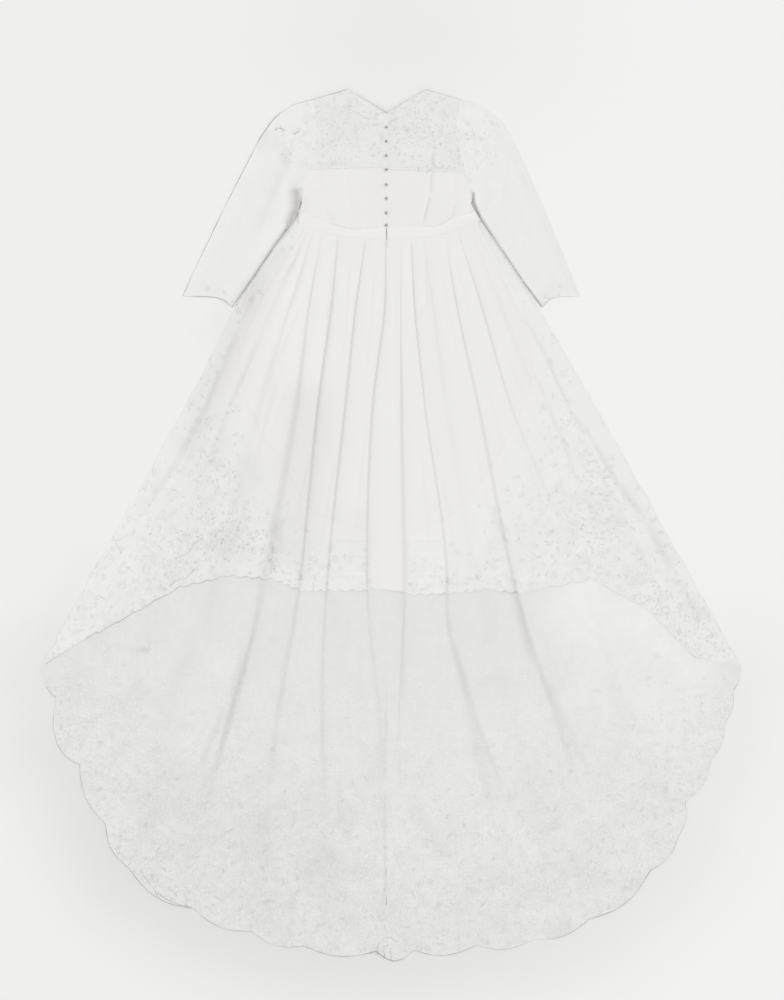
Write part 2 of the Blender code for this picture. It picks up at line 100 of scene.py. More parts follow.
# one sleeve: name; x, y at its outer edge; more width on the left; y at its inner edge and
# x there on the left and on the right; height of the soft roll along that edge
SLEEVE = [
    ("armhole", 198, 384, 0, 136, 238, 238, 0.0), ("cap", 250, 370, 0, 103, 231, 232, 5.0),
    ("upper", 300, 336, 0, 73, 239, 248, 8.0), ("above_elbow", 338, 280, 2, 34, 267, 272, 8.5),
    ("elbow", 372, 205, 6, -2, 296, 297, 7.0), ("below_elbow", 418, 104, 12, -58, 334, 335, 6.0),
    ("forearm", 468, -16, 20, -118, 375, 375, 5.0), ("cuff", 521, -146, 28, -176, 416, 418, 3.5),
]
print("centre back of the waist at", round(CENTRE_X, 4), round(WAIST_Y, 4))

# %% [markdown]
# ## The lines of the skirt
# A pleated skirt is easiest to describe by the lines its folds run along. Each row is one
# line from the waist to the train's edge. Any point of the skirt is then a place between two
# lines, such as 3.4, and a station down them, such as 2.5, and every layer shares these two
# numbers, so the layers lie on each other as the real ones do.

# %% Lines from the waist to the edge of the train
# name; x at the waist and hip; x, y at the knee, the hem, where the border starts, and the
# train's edge; height of the crest left of the line, in the skirt and in the train
LINES = [
    ("side_left", -236, -398, -606, -554, -930, -1144, -928, -1172, -920, -1198, 0, 0),
    ("satin_edge_left", -222, -370, -508, -522, -778, -1050, -838, -1210, -886, -1352, 5, 5),
    ("left_4", -208, -298, -414, -460, -558, -926, -680, -1236, -788, -1540, 8, 11),
    ("left_3", -194, -256, -326, -448, -428, -894, -558, -1278, -680, -1710, 11, 16),
    ("left_2", -172, -204, -230, -442, -310, -902, -406, -1268, -544, -1790, 13, 19),
    ("left_1", -128, -146, -182, -442, -228, -934, -284, -1312, -336, -1872, 15, 20),
    ("left_0", -52, -80, -106, -442, -156, -934, -160, -1344, -130, -1922, 14, 16),
    ("centre_left", 0, -1, -34, -454, -44, -934, -2, -1344, -2, -1920, 16, 12),
    ("centre_right", 42, 42, 48, -468, 58, -946, 36, -1344, 48, -1928, 11, 10),
    ("right_0", 68, 77, 110, -460, 172, -942, 274, -1340, 382, -1890, 13, 15),
    ("right_1", 104, 134, 176, -460, 264, -932, 374, -1332, 508, -1852, 10, 14),
    ("right_2", 162, 196, 260, -460, 360, -940, 492, -1344, 636, -1774, 13, 19),
    ("right_3", 194, 263, 350, -460, 550, -904, 662, -1268, 760, -1650, 11, 14),
    ("right_4", 222, 320, 444, -480, 698, -982, 782, -1236, 846, -1466, 9, 9),
    ("satin_edge_right", 240, 362, 522, -502, 832, -1120, 884, -1210, 906, -1312, 5, 5),
    ("side_right", 256, 412, 616, -534, 954, -1140, 954, -1160, 952, -1182, 3, 3),
]
SATIN_LEFT, CENTRE_LEFT, CENTRE_RIGHT, SATIN_RIGHT, SIDE_RIGHT = 1, 7, 8, 14, 15
MIDDLE = (CENTRE_LEFT + CENTRE_RIGHT) / 2  # the middle of the centre panel
WAIST, HEM, BORDER, EDGE = 0, 3, 4, 5  # the hip is station 1, and the knee station 2


def waist_edge(x):
    return WAIST_LOW + WAIST_LIFT * (np.abs(x) / WAIST_HALF) ** WAIST_POWER


# how far the waistband's upper edge sags below its even width: x, millimetres
BAND_SAGS = np.array([(-236, 0), (-200, 2), (-154, 5), (-110, 9), (-74, 6), (-20, 0), (60, 0),
                      (100, 4), (135, 9), (160, 5), (180, 0), (256, 0)], float)


def band_edge(x):
    """The waistband's upper edge."""
    return waist_edge(x) + BAND_HEIGHT - np.interp(x, *BAND_SAGS.T)


def length_of(vectors):
    return np.linalg.norm(vectors, axis=-1, keepdims=True)


STOPS = np.array([
    [(line[1], waist_edge(line[1]) - SEAM), (line[2], HIP_Y), *zip(line[3:11:2], line[4:11:2])]
    for line in LINES
])
runs = np.diff(STOPS, axis=1)
before = np.concatenate([runs[:, :1], runs], axis=1)
after = np.concatenate([runs, runs[:, -1:]], axis=1)
turned = before / length_of(before) + after / length_of(after)
TANGENTS = turned / length_of(turned) * np.minimum(length_of(before), length_of(after))
# the line after the centre panel, right_0, runs straight down over the hem and then turns
TANGENTS[CENTRE_RIGHT + 1, HEM] = (-12.0, -420.0)
print(len(LINES), "lines of", STOPS.shape[1], "stations")


# %% Where a place between the lines lies
def smooth(t):
    t = np.clip(t, 0.0, 1.0)
    return t * t * (3.0 - 2.0 * t)


def on_line(index, station):
    """Points on the lines, on a smooth curve through their stations."""
    stop = np.minimum(station.astype(int), EDGE - 1)
    t = (station - stop)[..., None]
    t2, t3 = t * t, t * t * t
    return (
        STOPS[index, stop] * (2 * t3 - 3 * t2 + 1) + TANGENTS[index, stop] * (t3 - 2 * t2 + t)
        + STOPS[index, stop + 1] * (3 * t2 - 2 * t3) + TANGENTS[index, stop + 1] * (t3 - t2)
    )


def between_lines(place, station):
    """x, y at a place between the lines, and the two lines' distance there."""
    place, station = np.broadcast_arrays(np.asarray(place, float), np.asarray(station, float))
    line = np.minimum(place.astype(int), SIDE_RIGHT - 1)
    left, right = on_line(line, station), on_line(line + 1, station)
    points = left + (right - left) * (place - line)[..., None]
    at_waist = station == WAIST
    points[..., 1] = np.where(at_waist, waist_edge(points[..., 0]) - SEAM, points[..., 1])
    return points, length_of(right - left)[..., 0]


print("centre of the hem at", between_lines([MIDDLE], [HEM])[0].round(1).tolist())


# %% [markdown]
# ## Folds and creases
# Each pleat climbs slowly from left to right and then drops at its line, which is why each
# dark line in the skirt has its bright crest on the left. No two pleats are alike: one is
# pressed sharp at the waist and fades at the hem, the next only rises at the knee. So each
# line has its own share of its height at every station, and its own width of drop. Smaller
# creases are listed one by one, because no rule makes cloth look as if it had been smoothed by hand.

# %% Height of the pleats
# line: share of its crest at the waist, hip, knee, hem, border and edge; width of the drop in
# the skirt and in the train
CRESTS = {
    "side_left": (0.0, 0.0, 0.0, 0.0, 0.0, 0.0, 0.3, 0.36),
    "satin_edge_left": (0.1, 0.2, 0.3, 0.3, 0.3, 0.1, 0.34, 0.36),
    "left_4": (0.1, 0.24, 0.34, 0.36, 0.3, 0.1, 0.34, 0.36),
    "left_3": (0.05, 0.28, 0.48, 0.5, 0.14, 0.05, 0.36, 0.36),
    "left_2": (0.04, 0.42, 0.85, 0.85, 1.00, 0.06, 0.24, 0.11),
    "left_1": (0.2, 0.62, 0.8, 0.55, 0.4, 0.05, 0.12, 0.16),
    "left_0": (0.22, 0.6, 0.72, 0.5, 0.5, 0.05, 0.09, 0.15),
    "centre_left": (0.18, 0.55, 0.55, 0.45, 0.45, 0.12, 0.08, 0.1),
    "centre_right": (0.1, 0.26, 0.85, 0.75, 0.25, 0.05, 0.14, 0.13),
    "right_0": (0.22, 0.7, 0.45, 0.6, 0.95, 0.06, 0.09, 0.17),
    "right_1": (0.1, 0.35, 0.2, 0.2, 0.28, 0.1, 0.3, 0.28),
    "right_2": (0.02, 0.62, 0.62, 0.9, 0.62, 0.05, 0.16, 0.2),
    "right_3": (0.14, 0.62, 0.54, 0.36, 0.34, 0.06, 0.13, 0.2),
    "right_4": (0.05, 0.3, 0.32, 0.24, 0.22, 0.06, 0.28, 0.34),
    "satin_edge_right": (0.0, 0.15, 0.2, 0.2, 0.2, 0.05, 0.34, 0.36),
    "side_right": (0.0, 0.2, 0.2, 0.2, 0.2, 0.0, 0.3, 0.32),
}
FLAT, FOOT = 0.08, 0.03  # shares of a pleat that are flat before its rise and after its drop
CRISP = 0.55  # how much of a drop's width is left at the waist
AT_SEAM = 0.1  # how much of a pleat's height is left right at the waist seam
STARTS = 16.0  # pleats have their height 1/16 of a station below the seam
FADES = 2.2  # and fade this much faster within the train's border
STEEPEST = 0.24  # the highest that a pleat may be, as a share of its width
PLEATS = np.array([line[-2:] for line in LINES], float)
SHARES = np.array([CRESTS[line[0]] for line in LINES])


def fold_height(place, station, width, hem_share=1.0):
    """Height of the pleats; hem_share is how much of the skirt's height a layer keeps."""
    line = np.minimum(place.astype(int), SIDE_RIGHT - 1)
    inside = place - line
    stop = np.minimum(station.astype(int), EDGE - 1)
    before, after = SHARES[line + 1, stop], SHARES[line + 1, stop + 1]
    step = (station - stop) * np.where(stop == BORDER, FADES, 1.0)
    strength = before + (after - before) * smooth(step)
    strength = strength * (AT_SEAM + (1 - AT_SEAM) * smooth(station * STARTS))
    loose = smooth(station - HEM)
    height = PLEATS[line + 1, 0] * hem_share * (1 - loose) + PLEATS[line + 1, 1] * loose
    height = np.minimum(height * strength, STEEPEST * width)
    in_skirt, in_train = SHARES[line + 1, -2], SHARES[line + 1, -1]
    drop = in_skirt * (CRISP + (1 - CRISP) * smooth(station / HEM))
    drop = drop + (in_train - drop) * smooth((station - HEM) * 2)
    rise = smooth((inside - FLAT) / (1 - FOOT - drop - FLAT))
    return height * rise * smooth((1 - FOOT - inside) / drop)


print("highest crests, in millimetres:", PLEATS.max(axis=0).tolist(), "in the skirt and the train")

# %% Creases listed one by one
# x, y where it starts and ends; half width to its left and right; height; sharpness of ends
SKIRT_CREASES = [
    (100, -35, 108, -186, 12, 5, 2.4, 5), (-232, -5, -268, -92, 16, 6, 2, 5),
    (-252, -49, -290, -113, 12, 5, 1.8, 5), (-214, -18, -262, -190, 9, 5, 1.6, 4),
    (-150, -10, -168, -300, 14, 6, 2.2, 3), (-100, -6, -124, -360, 16, 6, 2.4, 3),
    (-30, -10, -62, -420, 10, 5, 1.8, 3), (20, -12, 22, -560, 9, 7, 1.4, 3),
    (132, -20, 208, -420, 12, 6, 2.2, 3), (180, -30, 232, -260, 10, 5, 2, 4),
    (208, -30, 300, -330, 12, 6, 2.2, 3), (236, -40, 352, -300, 10, 6, 1.6, 4),
    (-290, -330, -372, -640, 22, 9, 2.6, 3), (-200, -520, -262, -800, 20, 8, 2.6, 3),
    (-140, -560, -190, -860, 18, 8, 2.4, 3), (84, -520, 116, -880, 18, 8, 2.2, 3),
    (222, -500, 300, -860, 22, 8, 2.6, 3), (330, -470, 440, -800, 24, 9, 2.4, 3),
    (-430, -560, -520, -820, 26, 12, 2, 3), (470, -560, 590, -840, 26, 12, 2, 3),
    (-290, -745, -288, -842, 12, 10, 4, 6),
    (300, -260, 420, -560, 14, 8, 2.6, 3), (372, -420, 500, -720, 16, 9, 2.4, 3),
    (250, -330, 322, -600, 12, 7, 2.2, 3), (392, -338, 514, -634, 14, 6, 3, 3),
    (-344, -110, -461, -386, 12, 8, 1.6, 4), (-450, -360, -657, -732, 16, 9, 2.2, 4),
    (370, -207, 512, -492, 7, 12, 1.6, 4), (505, -478, 776, -894, 8, 16, 2.4, 4),
    (420, -640, 560, -890, 20, 10, 2.4, 3),
    (500, -620, 640, -900, 18, 10, 2, 3), (-340, -240, -440, -470, 14, 8, 2.4, 3),
    (-260, -360, -330, -560, 12, 7, 2, 3), (-420, -440, -540, -700, 16, 9, 2, 3),
    (-372, -640, -440, -880, 18, 9, 2.2, 3), (-60, -480, -88, -800, 12, 6, 1.6, 3),
    (140, -600, 190, -900, 16, 7, 2, 3), (-230, -150, -300, -330, 12, 7, 2, 4),
]
TRAIN_CREASES = [
    (-736, -1088, -640, -1101, 12, 8, 4.5, 4),
    (-125, -1500, -122, -1565, 9, 6, 5, 6), (312, -1470, 334, -1512, 12, 8, 5, 6),
    (-4, -1700, -8, -1770, 10, 6, 4, 6),
    (-300, -960, -322, -1150, 20, 10, 3, 4), (-70, -960, -84, -1240, 18, 9, 2.6, 4),
    (140, -960, 214, -1260, 20, 9, 3, 4), (440, -960, 540, -1210, 22, 12, 3, 4),
    (600, -1020, 690, -1200, 24, 12, 2.4, 4), (-210, -1360, -236, -1640, 22, 14, 2.4, 4),
    (230, -1380, 300, -1640, 22, 14, 2.4, 4), (500, -1400, 590, -1600, 24, 14, 2.4, 4),
    (-470, -1380, -560, -1600, 24, 14, 2.4, 4), (-700, -1320, -770, -1420, 26, 16, 2, 4),
]
TUCKS = [(-804, 1.3), (-846, 1.1), (-899, 1.5)]  # y, height of three stitched tucks
TUCK_HALF = 3.2  # half width of a tuck
TUCKED = [(-156, 14, -4, 8), (66, 8, 158, 14)]  # where they start and end, and how softly


def creases(points, rows):
    """What the listed creases add to the height at each x, y."""
    total = np.zeros(points.shape[:-1])
    for x0, y0, x1, y1, left, right, height, ends in rows:
        start, run = np.array((x0, y0)), np.array((x1 - x0, y1 - y0))
        long = math.hypot(*run)
        along = (points - start) @ run / long ** 2
        beside = (points - start) @ np.array((-run[1], run[0])) / long
        beside = -beside if run[1] < 0 else beside
        half = np.where(beside > 0, left, right)
        fade = smooth(along * ends) * smooth((1 - along) * ends)
        total += height * np.exp(-(beside / half) ** 2) * fade
    return total


def tucks(points):
    """What the stitched tucks above the hem add to the height at each x, y."""
    x, y = points[..., 0], points[..., 1]
    reach = sum(smooth((x - start) / soft) * smooth((end - x) / soft_end)
                for start, soft, end, soft_end in TUCKED)
    return reach * sum(height * np.exp(-((y - at) / TUCK_HALF) ** 2) for at, height in TUCKS)


print(len(SKIRT_CREASES) + len(TRAIN_CREASES), "creases and", len(TUCKS), "tucks")

# %% [markdown]
# ## Shade, openwork and doubled net
# Where a layer lies deep in a crease, or two edges meet, hardly any light gets in and white
# fibres look grey. Light from all round hardly darkens such a place, so each point of a cloth
# keeps a number for it, and the finish turns greyer there. Other tables say where the lace is
# open, which is where its eyelets gather, and where two nets lie on each other.

# %% Where the cloth lies in shade
# rows as above, with how grey it is in place of the height
SHADED = [
    # between the bodice and the left sleeve, then the right one
    (-242, 152, -239, 98, 17, 11, 0.45, 3), (-239, 116, -247, 64, 17, 10, 0.46, 3),
    (-246, 84, -268, 34, 13, 7, 0.44, 3), (-262, 46, -276, 22, 4, 4, 0.3, 3),
    (-267, 36, -311, -26, 3.5, 3.5, 0.5, 12),
    (-308, -20, -365, -106, 3, 3, 0.5, 12), (-362, -100, -414, -178, 2.8, 2.8, 0.55, 12),
    (233, 138, 236, 98, 3.5, 4.5, 0.72, 5), (235, 106, 254, 62, 3.5, 4, 0.66, 6),
    (252, 68, 278, 28, 3.5, 3.5, 0.45, 6), (275, 34, 312, -26, 3, 3, 0.45, 12),
    (310, -20, 367, -106, 2.8, 2.8, 0.6, 12), (365, -102, 422, -178, 2.4, 2.4, 0.6, 12),
    # the right dart, the top of the satin bodice, and the seam above the waistband
    (126, 252, 118, 127, 3, 3, 0.16, 8), (118, 127, 98, 48, 3, 3, 0.2, 5),
    (-196, 212, -100, 211, 3, 3, 0.1, 9), (40, 200, 196, 199, 3, 3, 0.08, 9),
    (-158, 51, -98, 35, 4, 3, 0.12, 4), (-104, 36, -58, 35, 4, 3, 0.1, 6),
    (-64, 35, -14, 39, 4, 3, 0.08, 5), (88, 40, 142, 43, 4, 3, 0.06, 5),
    (136, 42, 168, 57, 4, 3, 0.1, 5), (164, 54, 184, 76, 4, 3, 0.12, 5),
    (181, 71, 187, 100, 4, 4, 0.1, 4),
    # the slit, and the foot of the left dart
    (0, 34, 1, -20, 4, 4, 0.14, 6), (-165, 92, -138, 52, 4, 4, 0.06, 4),
    # a fold at the left of the train, and the feet of the pleats at the hem
    (-740, -1080, -690, -1096, 6, 5, 0.05, 3), (-700, -1094, -636, -1101, 6, 5, 0.07, 3),
    (-672, -1098, -632, -1103, 7, 6, 0.1, 3),
    (-312, -800, -302, -850, 8, 8, 0.14, 3), (-310, -855, -304, -890, 7, 7, 0.22, 4),
    (-234, -895, -228, -915, 6, 6, 0.2, 4), (-52, -905, -48, -925, 6, 6, 0.14, 4),
    (62, -915, 68, -936, 6, 6, 0.18, 4), (164, -905, 168, -926, 6, 6, 0.16, 4),
    (242, -895, 248, -915, 6, 6, 0.2, 4), (280, -700, 320, -815, 9, 6, 0.1, 3),
    # folds of the tulle and its border
    (-1, -1150, -3, -1500, 3, 3, 0.1, 4), (-3, -1470, -7, -1892, 3, 3, 0.12, 8),
    (50, -935, 42, -1260, 3, 3, 0.08, 4), (-378, -1070, -426, -1250, 10, 8, 0.1, 3),
    (-424, -1230, -512, -1442, 9, 7, 0.12, 3), (178, -1060, 240, -1290, 9, 7, 0.12, 3),
    (228, -1250, 320, -1495, 8, 6, 0.1, 3), (400, -1120, 566, -1475, 12, 8, 0.1, 3),
    (330, -880, 405, -1170, 14, 9, 0.18, 3), (-600, -1500, -690, -1660, 14, 12, 0.05, 3),
    # the left side of the skirt: broad shade, and its edge
    (-300, -230, -470, -700, 60, 60, 0.02, 3), (-380, -500, -600, -900, 70, 70, 0.022, 3),
    (-400, -780, -520, -860, 40, 34, 0.04, 3),
    (-344, -110, -402, -238, 7, 5, 0.08, 4), (-394, -222, -450, -358, 8, 5, 0.08, 4),
    (-440, -330, -500, -480, 8, 5, 0.12, 4), (-484, -452, -560, -590, 12, 6, 0.1, 4),
    (-545, -570, -640, -704, 14, 8, 0.1, 3), (-262, 20, -420, -200, 3, 42, 0.11, 4),
    (-330, -60, -470, -430, 55, 40, 0.12, 3), (-420, -300, -560, -640, 60, 50, 0.1, 3),
    (-205, -330, -250, -960, 85, 85, 0.1, 5), (-330, -520, -420, -900, 60, 60, 0.06, 4),
    # the right edge of the skirt
    (366, -200, 400, -252, 5, 6, 0.06, 3), (388, -236, 436, -318, 5, 6, 0.08, 3),
    (426, -300, 500, -470, 5, 7, 0.1, 4), (490, -452, 566, -546, 5, 8, 0.1, 4),
    (552, -532, 628, -664, 6, 10, 0.14, 4), (616, -646, 700, -750, 8, 12, 0.14, 4),
    (688, -736, 780, -900, 10, 16, 0.12, 4), (764, -880, 860, -1040, 14, 16, 0.1, 4),
    (392, -338, 436, -442, 5, 4, 0.08, 3), (426, -424, 514, -634, 6, 4, 0.09, 4),
    # broad shade in the hem's lace and in the train's border
    (-302, -720, -292, -834, 14, 12, 0.16, 2), (-780, -1490, -10, -1730, 150, 150, 0.05, 4),
    (-72, -680, -78, -900, 45, 45, 0.05, 3), (-193, -1580, -193, -1790, 70, 70, 0.04, 3),
    (-412, -1372, -488, -1446, 5, 5, 0.12, 3), (-128, -1420, -130, -1606, 4, 6, 0.1, 3),
    (-93, -1450, -84, -1486, 3, 3, 0.24, 3), (-330, -1440, -330, -1740, 22, 22, 0.05, 3),
    (-560, -1790, 560, -1850, 80, 80, 0.03, 6), (-420, -170, -462, -250, 16, 12, 0.1, 3),
    # small shadows in the lace of the yoke
    (-16, 352, -8, 345, 2, 2, 0.24, 3), (-6, 350, 8, 346, 2, 2, 0.22, 3),
    (12, 350, 22, 342, 2.5, 2.5, 0.2, 3), (24, 338, 30, 328, 3, 3, 0.2, 3),
    (14, 330, 26, 322, 3, 3, 0.14, 3), (-30, 342, -24, 330, 2.5, 2.5, 0.18, 3),
    (-26, 322, -14, 314, 2, 2, 0.18, 3), (6, 322, 14, 312, 2, 2, 0.14, 3),
    (76, 352, 80, 338, 3, 3, 0.16, 3), (96, 318, 126, 308, 5, 5, 0.08, 3),
    (34, 312, 60, 300, 6, 6, 0.06, 3), (-64, 356, -56, 346, 2.5, 2.5, 0.18, 3),
    (118, 364, 132, 350, 4, 4, 0.12, 3), (140, 345, 172, 330, 6, 6, 0.08, 3),
    (98, 350, 116, 338, 5, 5, 0.08, 3), (150, 360, 160, 340, 3, 3, 0.12, 3),
    # and at the heads of the sleeves
    (-304, 302, -290, 309, 2.5, 2.5, 0.26, 4), (-288, 308, -276, 300, 3, 3, 0.3, 3),
    (-256, 288, -244, 300, 3, 3, 0.22, 3), (-262, 260, -250, 280, 8, 8, 0.05, 3),
    (206, 292, 222, 284, 3, 3, 0.22, 3), (228, 286, 246, 276, 5, 5, 0.1, 3),
    (276, 330, 296, 312, 6, 6, 0.1, 3), (300, 352, 320, 330, 9, 9, 0.05, 3),
    (250, 282, 264, 270, 4, 4, 0.12, 3), (262, 346, 276, 336, 4, 4, 0.12, 3),
    (200, 268, 216, 256, 4, 4, 0.08, 3), (284, 262, 300, 240, 8, 8, 0.05, 3),
    (-286, 250, -262, 190, 12, 9, 0.06, 3), (-262, 268, -276, 190, 16, 14, 0.08, 3),
    (-272, 204, -320, 100, 18, 12, 0.09, 3), (-310, 120, -352, 16, 16, 11, 0.07, 3),
    (-318, 318, -352, 232, 18, 16, 0.08, 3), (-292, 302, -302, 236, 18, 16, 0.06, 3),
]
print(len(SHADED), "strokes of shade")

# %% Where the lace is open, and where two nets lie on each other
# openwork is where the grey eyelets, painted shade in the lace's holes, gather
# x, y; radius; how much openwork there is
OPENWORK = [
    (-480, -778, 62, 0.8), (-410, -807, 50, 0.8), (-550, -850, 50, 0.8), (-598, -940, 36, 0.8),
    (-463, -629, 46, 0.6), (-503, -507, 46, 0.45), (-342, -807, 30, 0.8), (-306, -886, 18, 1),
    (-660, -1010, 40, 0.5), (-420, -420, 40, 0.4), (-230, -905, 16, 0.8), (-60, -925, 12, 0.8),
    (550, -805, 46, 0.8), (726, -975, 50, 0.9), (792, -1030, 52, 1), (873, -1088, 36, 1),
    (428, -818, 36, 0.7), (576, -643, 46, 0.6), (468, -454, 40, 0.5), (244, -907, 16, 0.9),
    (166, -915, 16, 0.9), (620, -720, 40, 0.5), (820, -1070, 46, 1), (70, -930, 12, 0.9),
    (10, 337, 26, 1), (77, 300, 36, 0.9), (144, 289, 36, 0.9), (-112, 275, 34, 0.5),
    (-180, 248, 30, 0.5), (185, 208, 30, 0.6), (60, 250, 40, 0.4), (-60, 300, 30, 0.4),
    (20, -1900, 30, 1), (4, -1736, 20, 0.6), (-640, -1722, 60, 0.9), (-550, -1772, 44, 0.9),
    (-712, -1632, 34, 0.8), (-470, -1810, 30, 0.6), (-760, -1520, 30, 0.5),
    (846, -1506, 45, 0.35), (684, -1722, 45, 0.5), (550, -1830, 40, 0.4), (-396, -1880, 32, 0.4),
    (144, -1890, 32, 0.5), (-880, -1150, 40, 0.5), (-840, -1100, 40, 0.4),
    (-290, 300, 24, 0.5), (-240, 280, 26, 0.7), (-262, 220, 30, 0.5), (215, 285, 26, 0.8),
    (288, 312, 26, 0.8), (262, 240, 34, 0.6), (236, 205, 26, 0.5),
]
# two layers of net hardly let the floor through; rows as above
DOUBLED = [
    (500, -980, 110, 0.7), (620, -1020, 130, 0.5), (560, -1240, 150, 0.4), (720, -1200, 130, 0.45),
    (790, -1330, 110, 0.5), (260, -1400, 150, 0.4), (540, -915, 50, 0.5), (690, -1010, 60, 0.5),
    (770, -1090, 60, 0.6), (850, -1160, 60, 0.6),
]


def soft_spots(points, spots):
    """How strong soft round spots are at each x, y."""
    total = np.zeros(points.shape[:-1])
    for x, y, radius, amount in spots:
        apart = (points[..., 0] - x) ** 2 + (points[..., 1] - y) ** 2
        total += amount * np.exp(-apart / radius ** 2)
    return np.clip(total, 0.0, 1.0)


print(len(OPENWORK), "spots of openwork,", len(DOUBLED), "where net lies double")

# %% [markdown]
# ## Finishes
# Four things are seen on the gown: ivory satin, a fine net that lets the floor through, the
# thicker thread of the lace on it, and the cord that binds its edges. Some finishes are grey
# to paint shade: the eyelets and the buttons are grey for painted shade, and the cord and the
# outline threads are grey partly for painted shadow along them. The small patterns are node
# groups: a satin's crossing threads, a net's meshes, and the little flowers that fill a lace.
# Each is built once, and every finish places it with its own values. A flower is drawn round a
# random point by the angle about it, so its petals cost no geometry.

# %% Helpers for node trees
def add_node(tree, kind, inputs=None, **settings):
    """Add a node. An input is either a plain value or the socket that it is linked from."""
    made = tree.nodes.new(kind)
    for name, value in settings.items():
        setattr(made, name, value)
    for socket, value in (inputs or {}).items():
        if isinstance(value, bpy.types.NodeSocket):
            tree.links.new(value, made.inputs[socket])
        else:
            made.inputs[socket].default_value = value
    return made


def maths(tree, operation, *values, clamp=False):
    pairs = dict(enumerate(values))
    return add_node(tree, "ShaderNodeMath", pairs, operation=operation, use_clamp=clamp).outputs[0]


def new_group(name, kind, sockets_in, sockets_out):
    """A node tree with named inputs and outputs, and its two end nodes."""
    tree = bpy.data.node_groups.new(name, kind)
    for way, sockets in (('INPUT', sockets_in), ('OUTPUT', sockets_out)):
        for label, sort, value in sockets:
            socket = tree.interface.new_socket(label, in_out=way, socket_type=sort)
            if value is not None:
                socket.default_value = value
    return tree, tree.nodes.new("NodeGroupInput"), tree.nodes.new("NodeGroupOutput")


FLOAT, VECTOR = 'NodeSocketFloat', 'NodeSocketVector'


# %% Node groups for a weave, a net and the flowers of a lace
PETALS, FULL_TURN = 5.0, 6.28


def weave_group():
    """Threads that cross: a height for the bump, and an uneven tone as cloth has it."""
    tree, into, out = new_group(
        "crossing_threads", "ShaderNodeTree",
        [("Vector", VECTOR, None), ("Threads", FLOAT, 900.0), ("Patch", FLOAT, 9.0)],
        [("Height", FLOAT, None), ("Tone", FLOAT, None)],
    )
    waves = [
        add_node(tree, "ShaderNodeTexWave", {
            "Vector": into.outputs["Vector"], "Scale": into.outputs["Threads"],
            "Distortion": 1.5, "Detail": 1.0, "Detail Scale": 2.0,
        }, bands_direction=direction).outputs["Fac"]
        for direction in ('X', 'Y')
    ]
    broad = add_node(tree, "ShaderNodeTexNoise", {
        "Vector": into.outputs["Vector"], "Scale": into.outputs["Patch"], "Detail": 4.0,
    }).outputs["Fac"]
    height = maths(tree, 'MULTIPLY_ADD', waves[0], 0.7, maths(tree, 'MULTIPLY', waves[1], 0.3))
    tree.links.new(height, out.inputs["Height"])
    tree.links.new(broad, out.inputs["Tone"])
    return tree


def net_group():
    """Threads round the small meshes of a net: 1 on a thread, 0 in a hole."""
    tree, into, out = new_group(
        "net_meshes", "ShaderNodeTree",
        [("Vector", VECTOR, None), ("Meshes", FLOAT, 330.0), ("Thread", FLOAT, 0.16)],
        [("Threads", FLOAT, None)],
    )
    cells = add_node(tree, "ShaderNodeTexVoronoi", {
        "Vector": into.outputs["Vector"], "Scale": into.outputs["Meshes"],
        "Randomness": 0.35,
    }, voronoi_dimensions='2D', feature='DISTANCE_TO_EDGE').outputs["Distance"]
    ratio = maths(tree, 'DIVIDE', cells, into.outputs["Thread"])
    tree.links.new(maths(tree, 'SUBTRACT', 1.0, ratio, clamp=True), out.inputs["Threads"])
    return tree


def flowers_group():
    """Small five-petalled flowers round scattered points, by the angle about each point."""
    tree, into, out = new_group(
        "lace_flowers", "ShaderNodeTree",
        [("Vector", VECTOR, None), ("Flowers", FLOAT, 60.0), ("Size", FLOAT, 0.42)],
        [("Petals", FLOAT, None), ("Depth", FLOAT, None)],
    )
    scaled = add_node(tree, "ShaderNodeVectorMath", {
        0: into.outputs["Vector"], 3: into.outputs["Flowers"]}, operation='SCALE').outputs[0]
    cells = add_node(tree, "ShaderNodeTexVoronoi", {
        "Vector": scaled, "Scale": 1.0, "Randomness": 0.75}, voronoi_dimensions='2D')
    offset = add_node(tree, "ShaderNodeVectorMath", {
        0: scaled, 1: cells.outputs["Position"]}, operation='SUBTRACT').outputs[0]
    parts = add_node(tree, "ShaderNodeSeparateXYZ", {0: offset}).outputs
    angle = maths(tree, 'ARCTAN2', parts[1], parts[0])
    chance = add_node(tree, "ShaderNodeSeparateColor", {0: cells.outputs["Color"]}).outputs[0]
    turn = maths(tree, 'MULTIPLY', chance, FULL_TURN)
    petal = maths(tree, 'COSINE', maths(tree, 'MULTIPLY_ADD', angle, PETALS, turn))
    reach = maths(tree, 'MULTIPLY', into.outputs["Size"], maths(
        tree, 'MULTIPLY_ADD', petal, 0.28, 0.72))
    inside = maths(tree, 'SUBTRACT', 1.0, maths(tree, 'DIVIDE', cells.outputs["Distance"], reach))
    tree.links.new(maths(tree, 'MULTIPLY', inside, 6.0, clamp=True), out.inputs["Petals"])
    tree.links.new(maths(tree, 'MAXIMUM', inside, 0.0), out.inputs["Depth"])
    return tree


WEAVE, NET, FLOWERS = weave_group(), net_group(), flowers_group()
print("node groups:", WEAVE.name, NET.name, FLOWERS.name)


# %% Satin, thread and cord
SHADE_TONE = (0.31, 0.29, 0.25, 1.0)  # the colour of white cloth in deep shade


def shaded(tree, shader, colour):
    """Give the shader its colour, greyer where the attribute "shade" says so."""
    shade = add_node(tree, "ShaderNodeAttribute", attribute_name="shade").outputs["Fac"]
    tone = add_node(tree, "ShaderNodeMix", {0: shade, 6: colour, 7: SHADE_TONE}, data_type='RGBA')
    tree.links.new(tone.outputs[2], shader.inputs["Base Color"])


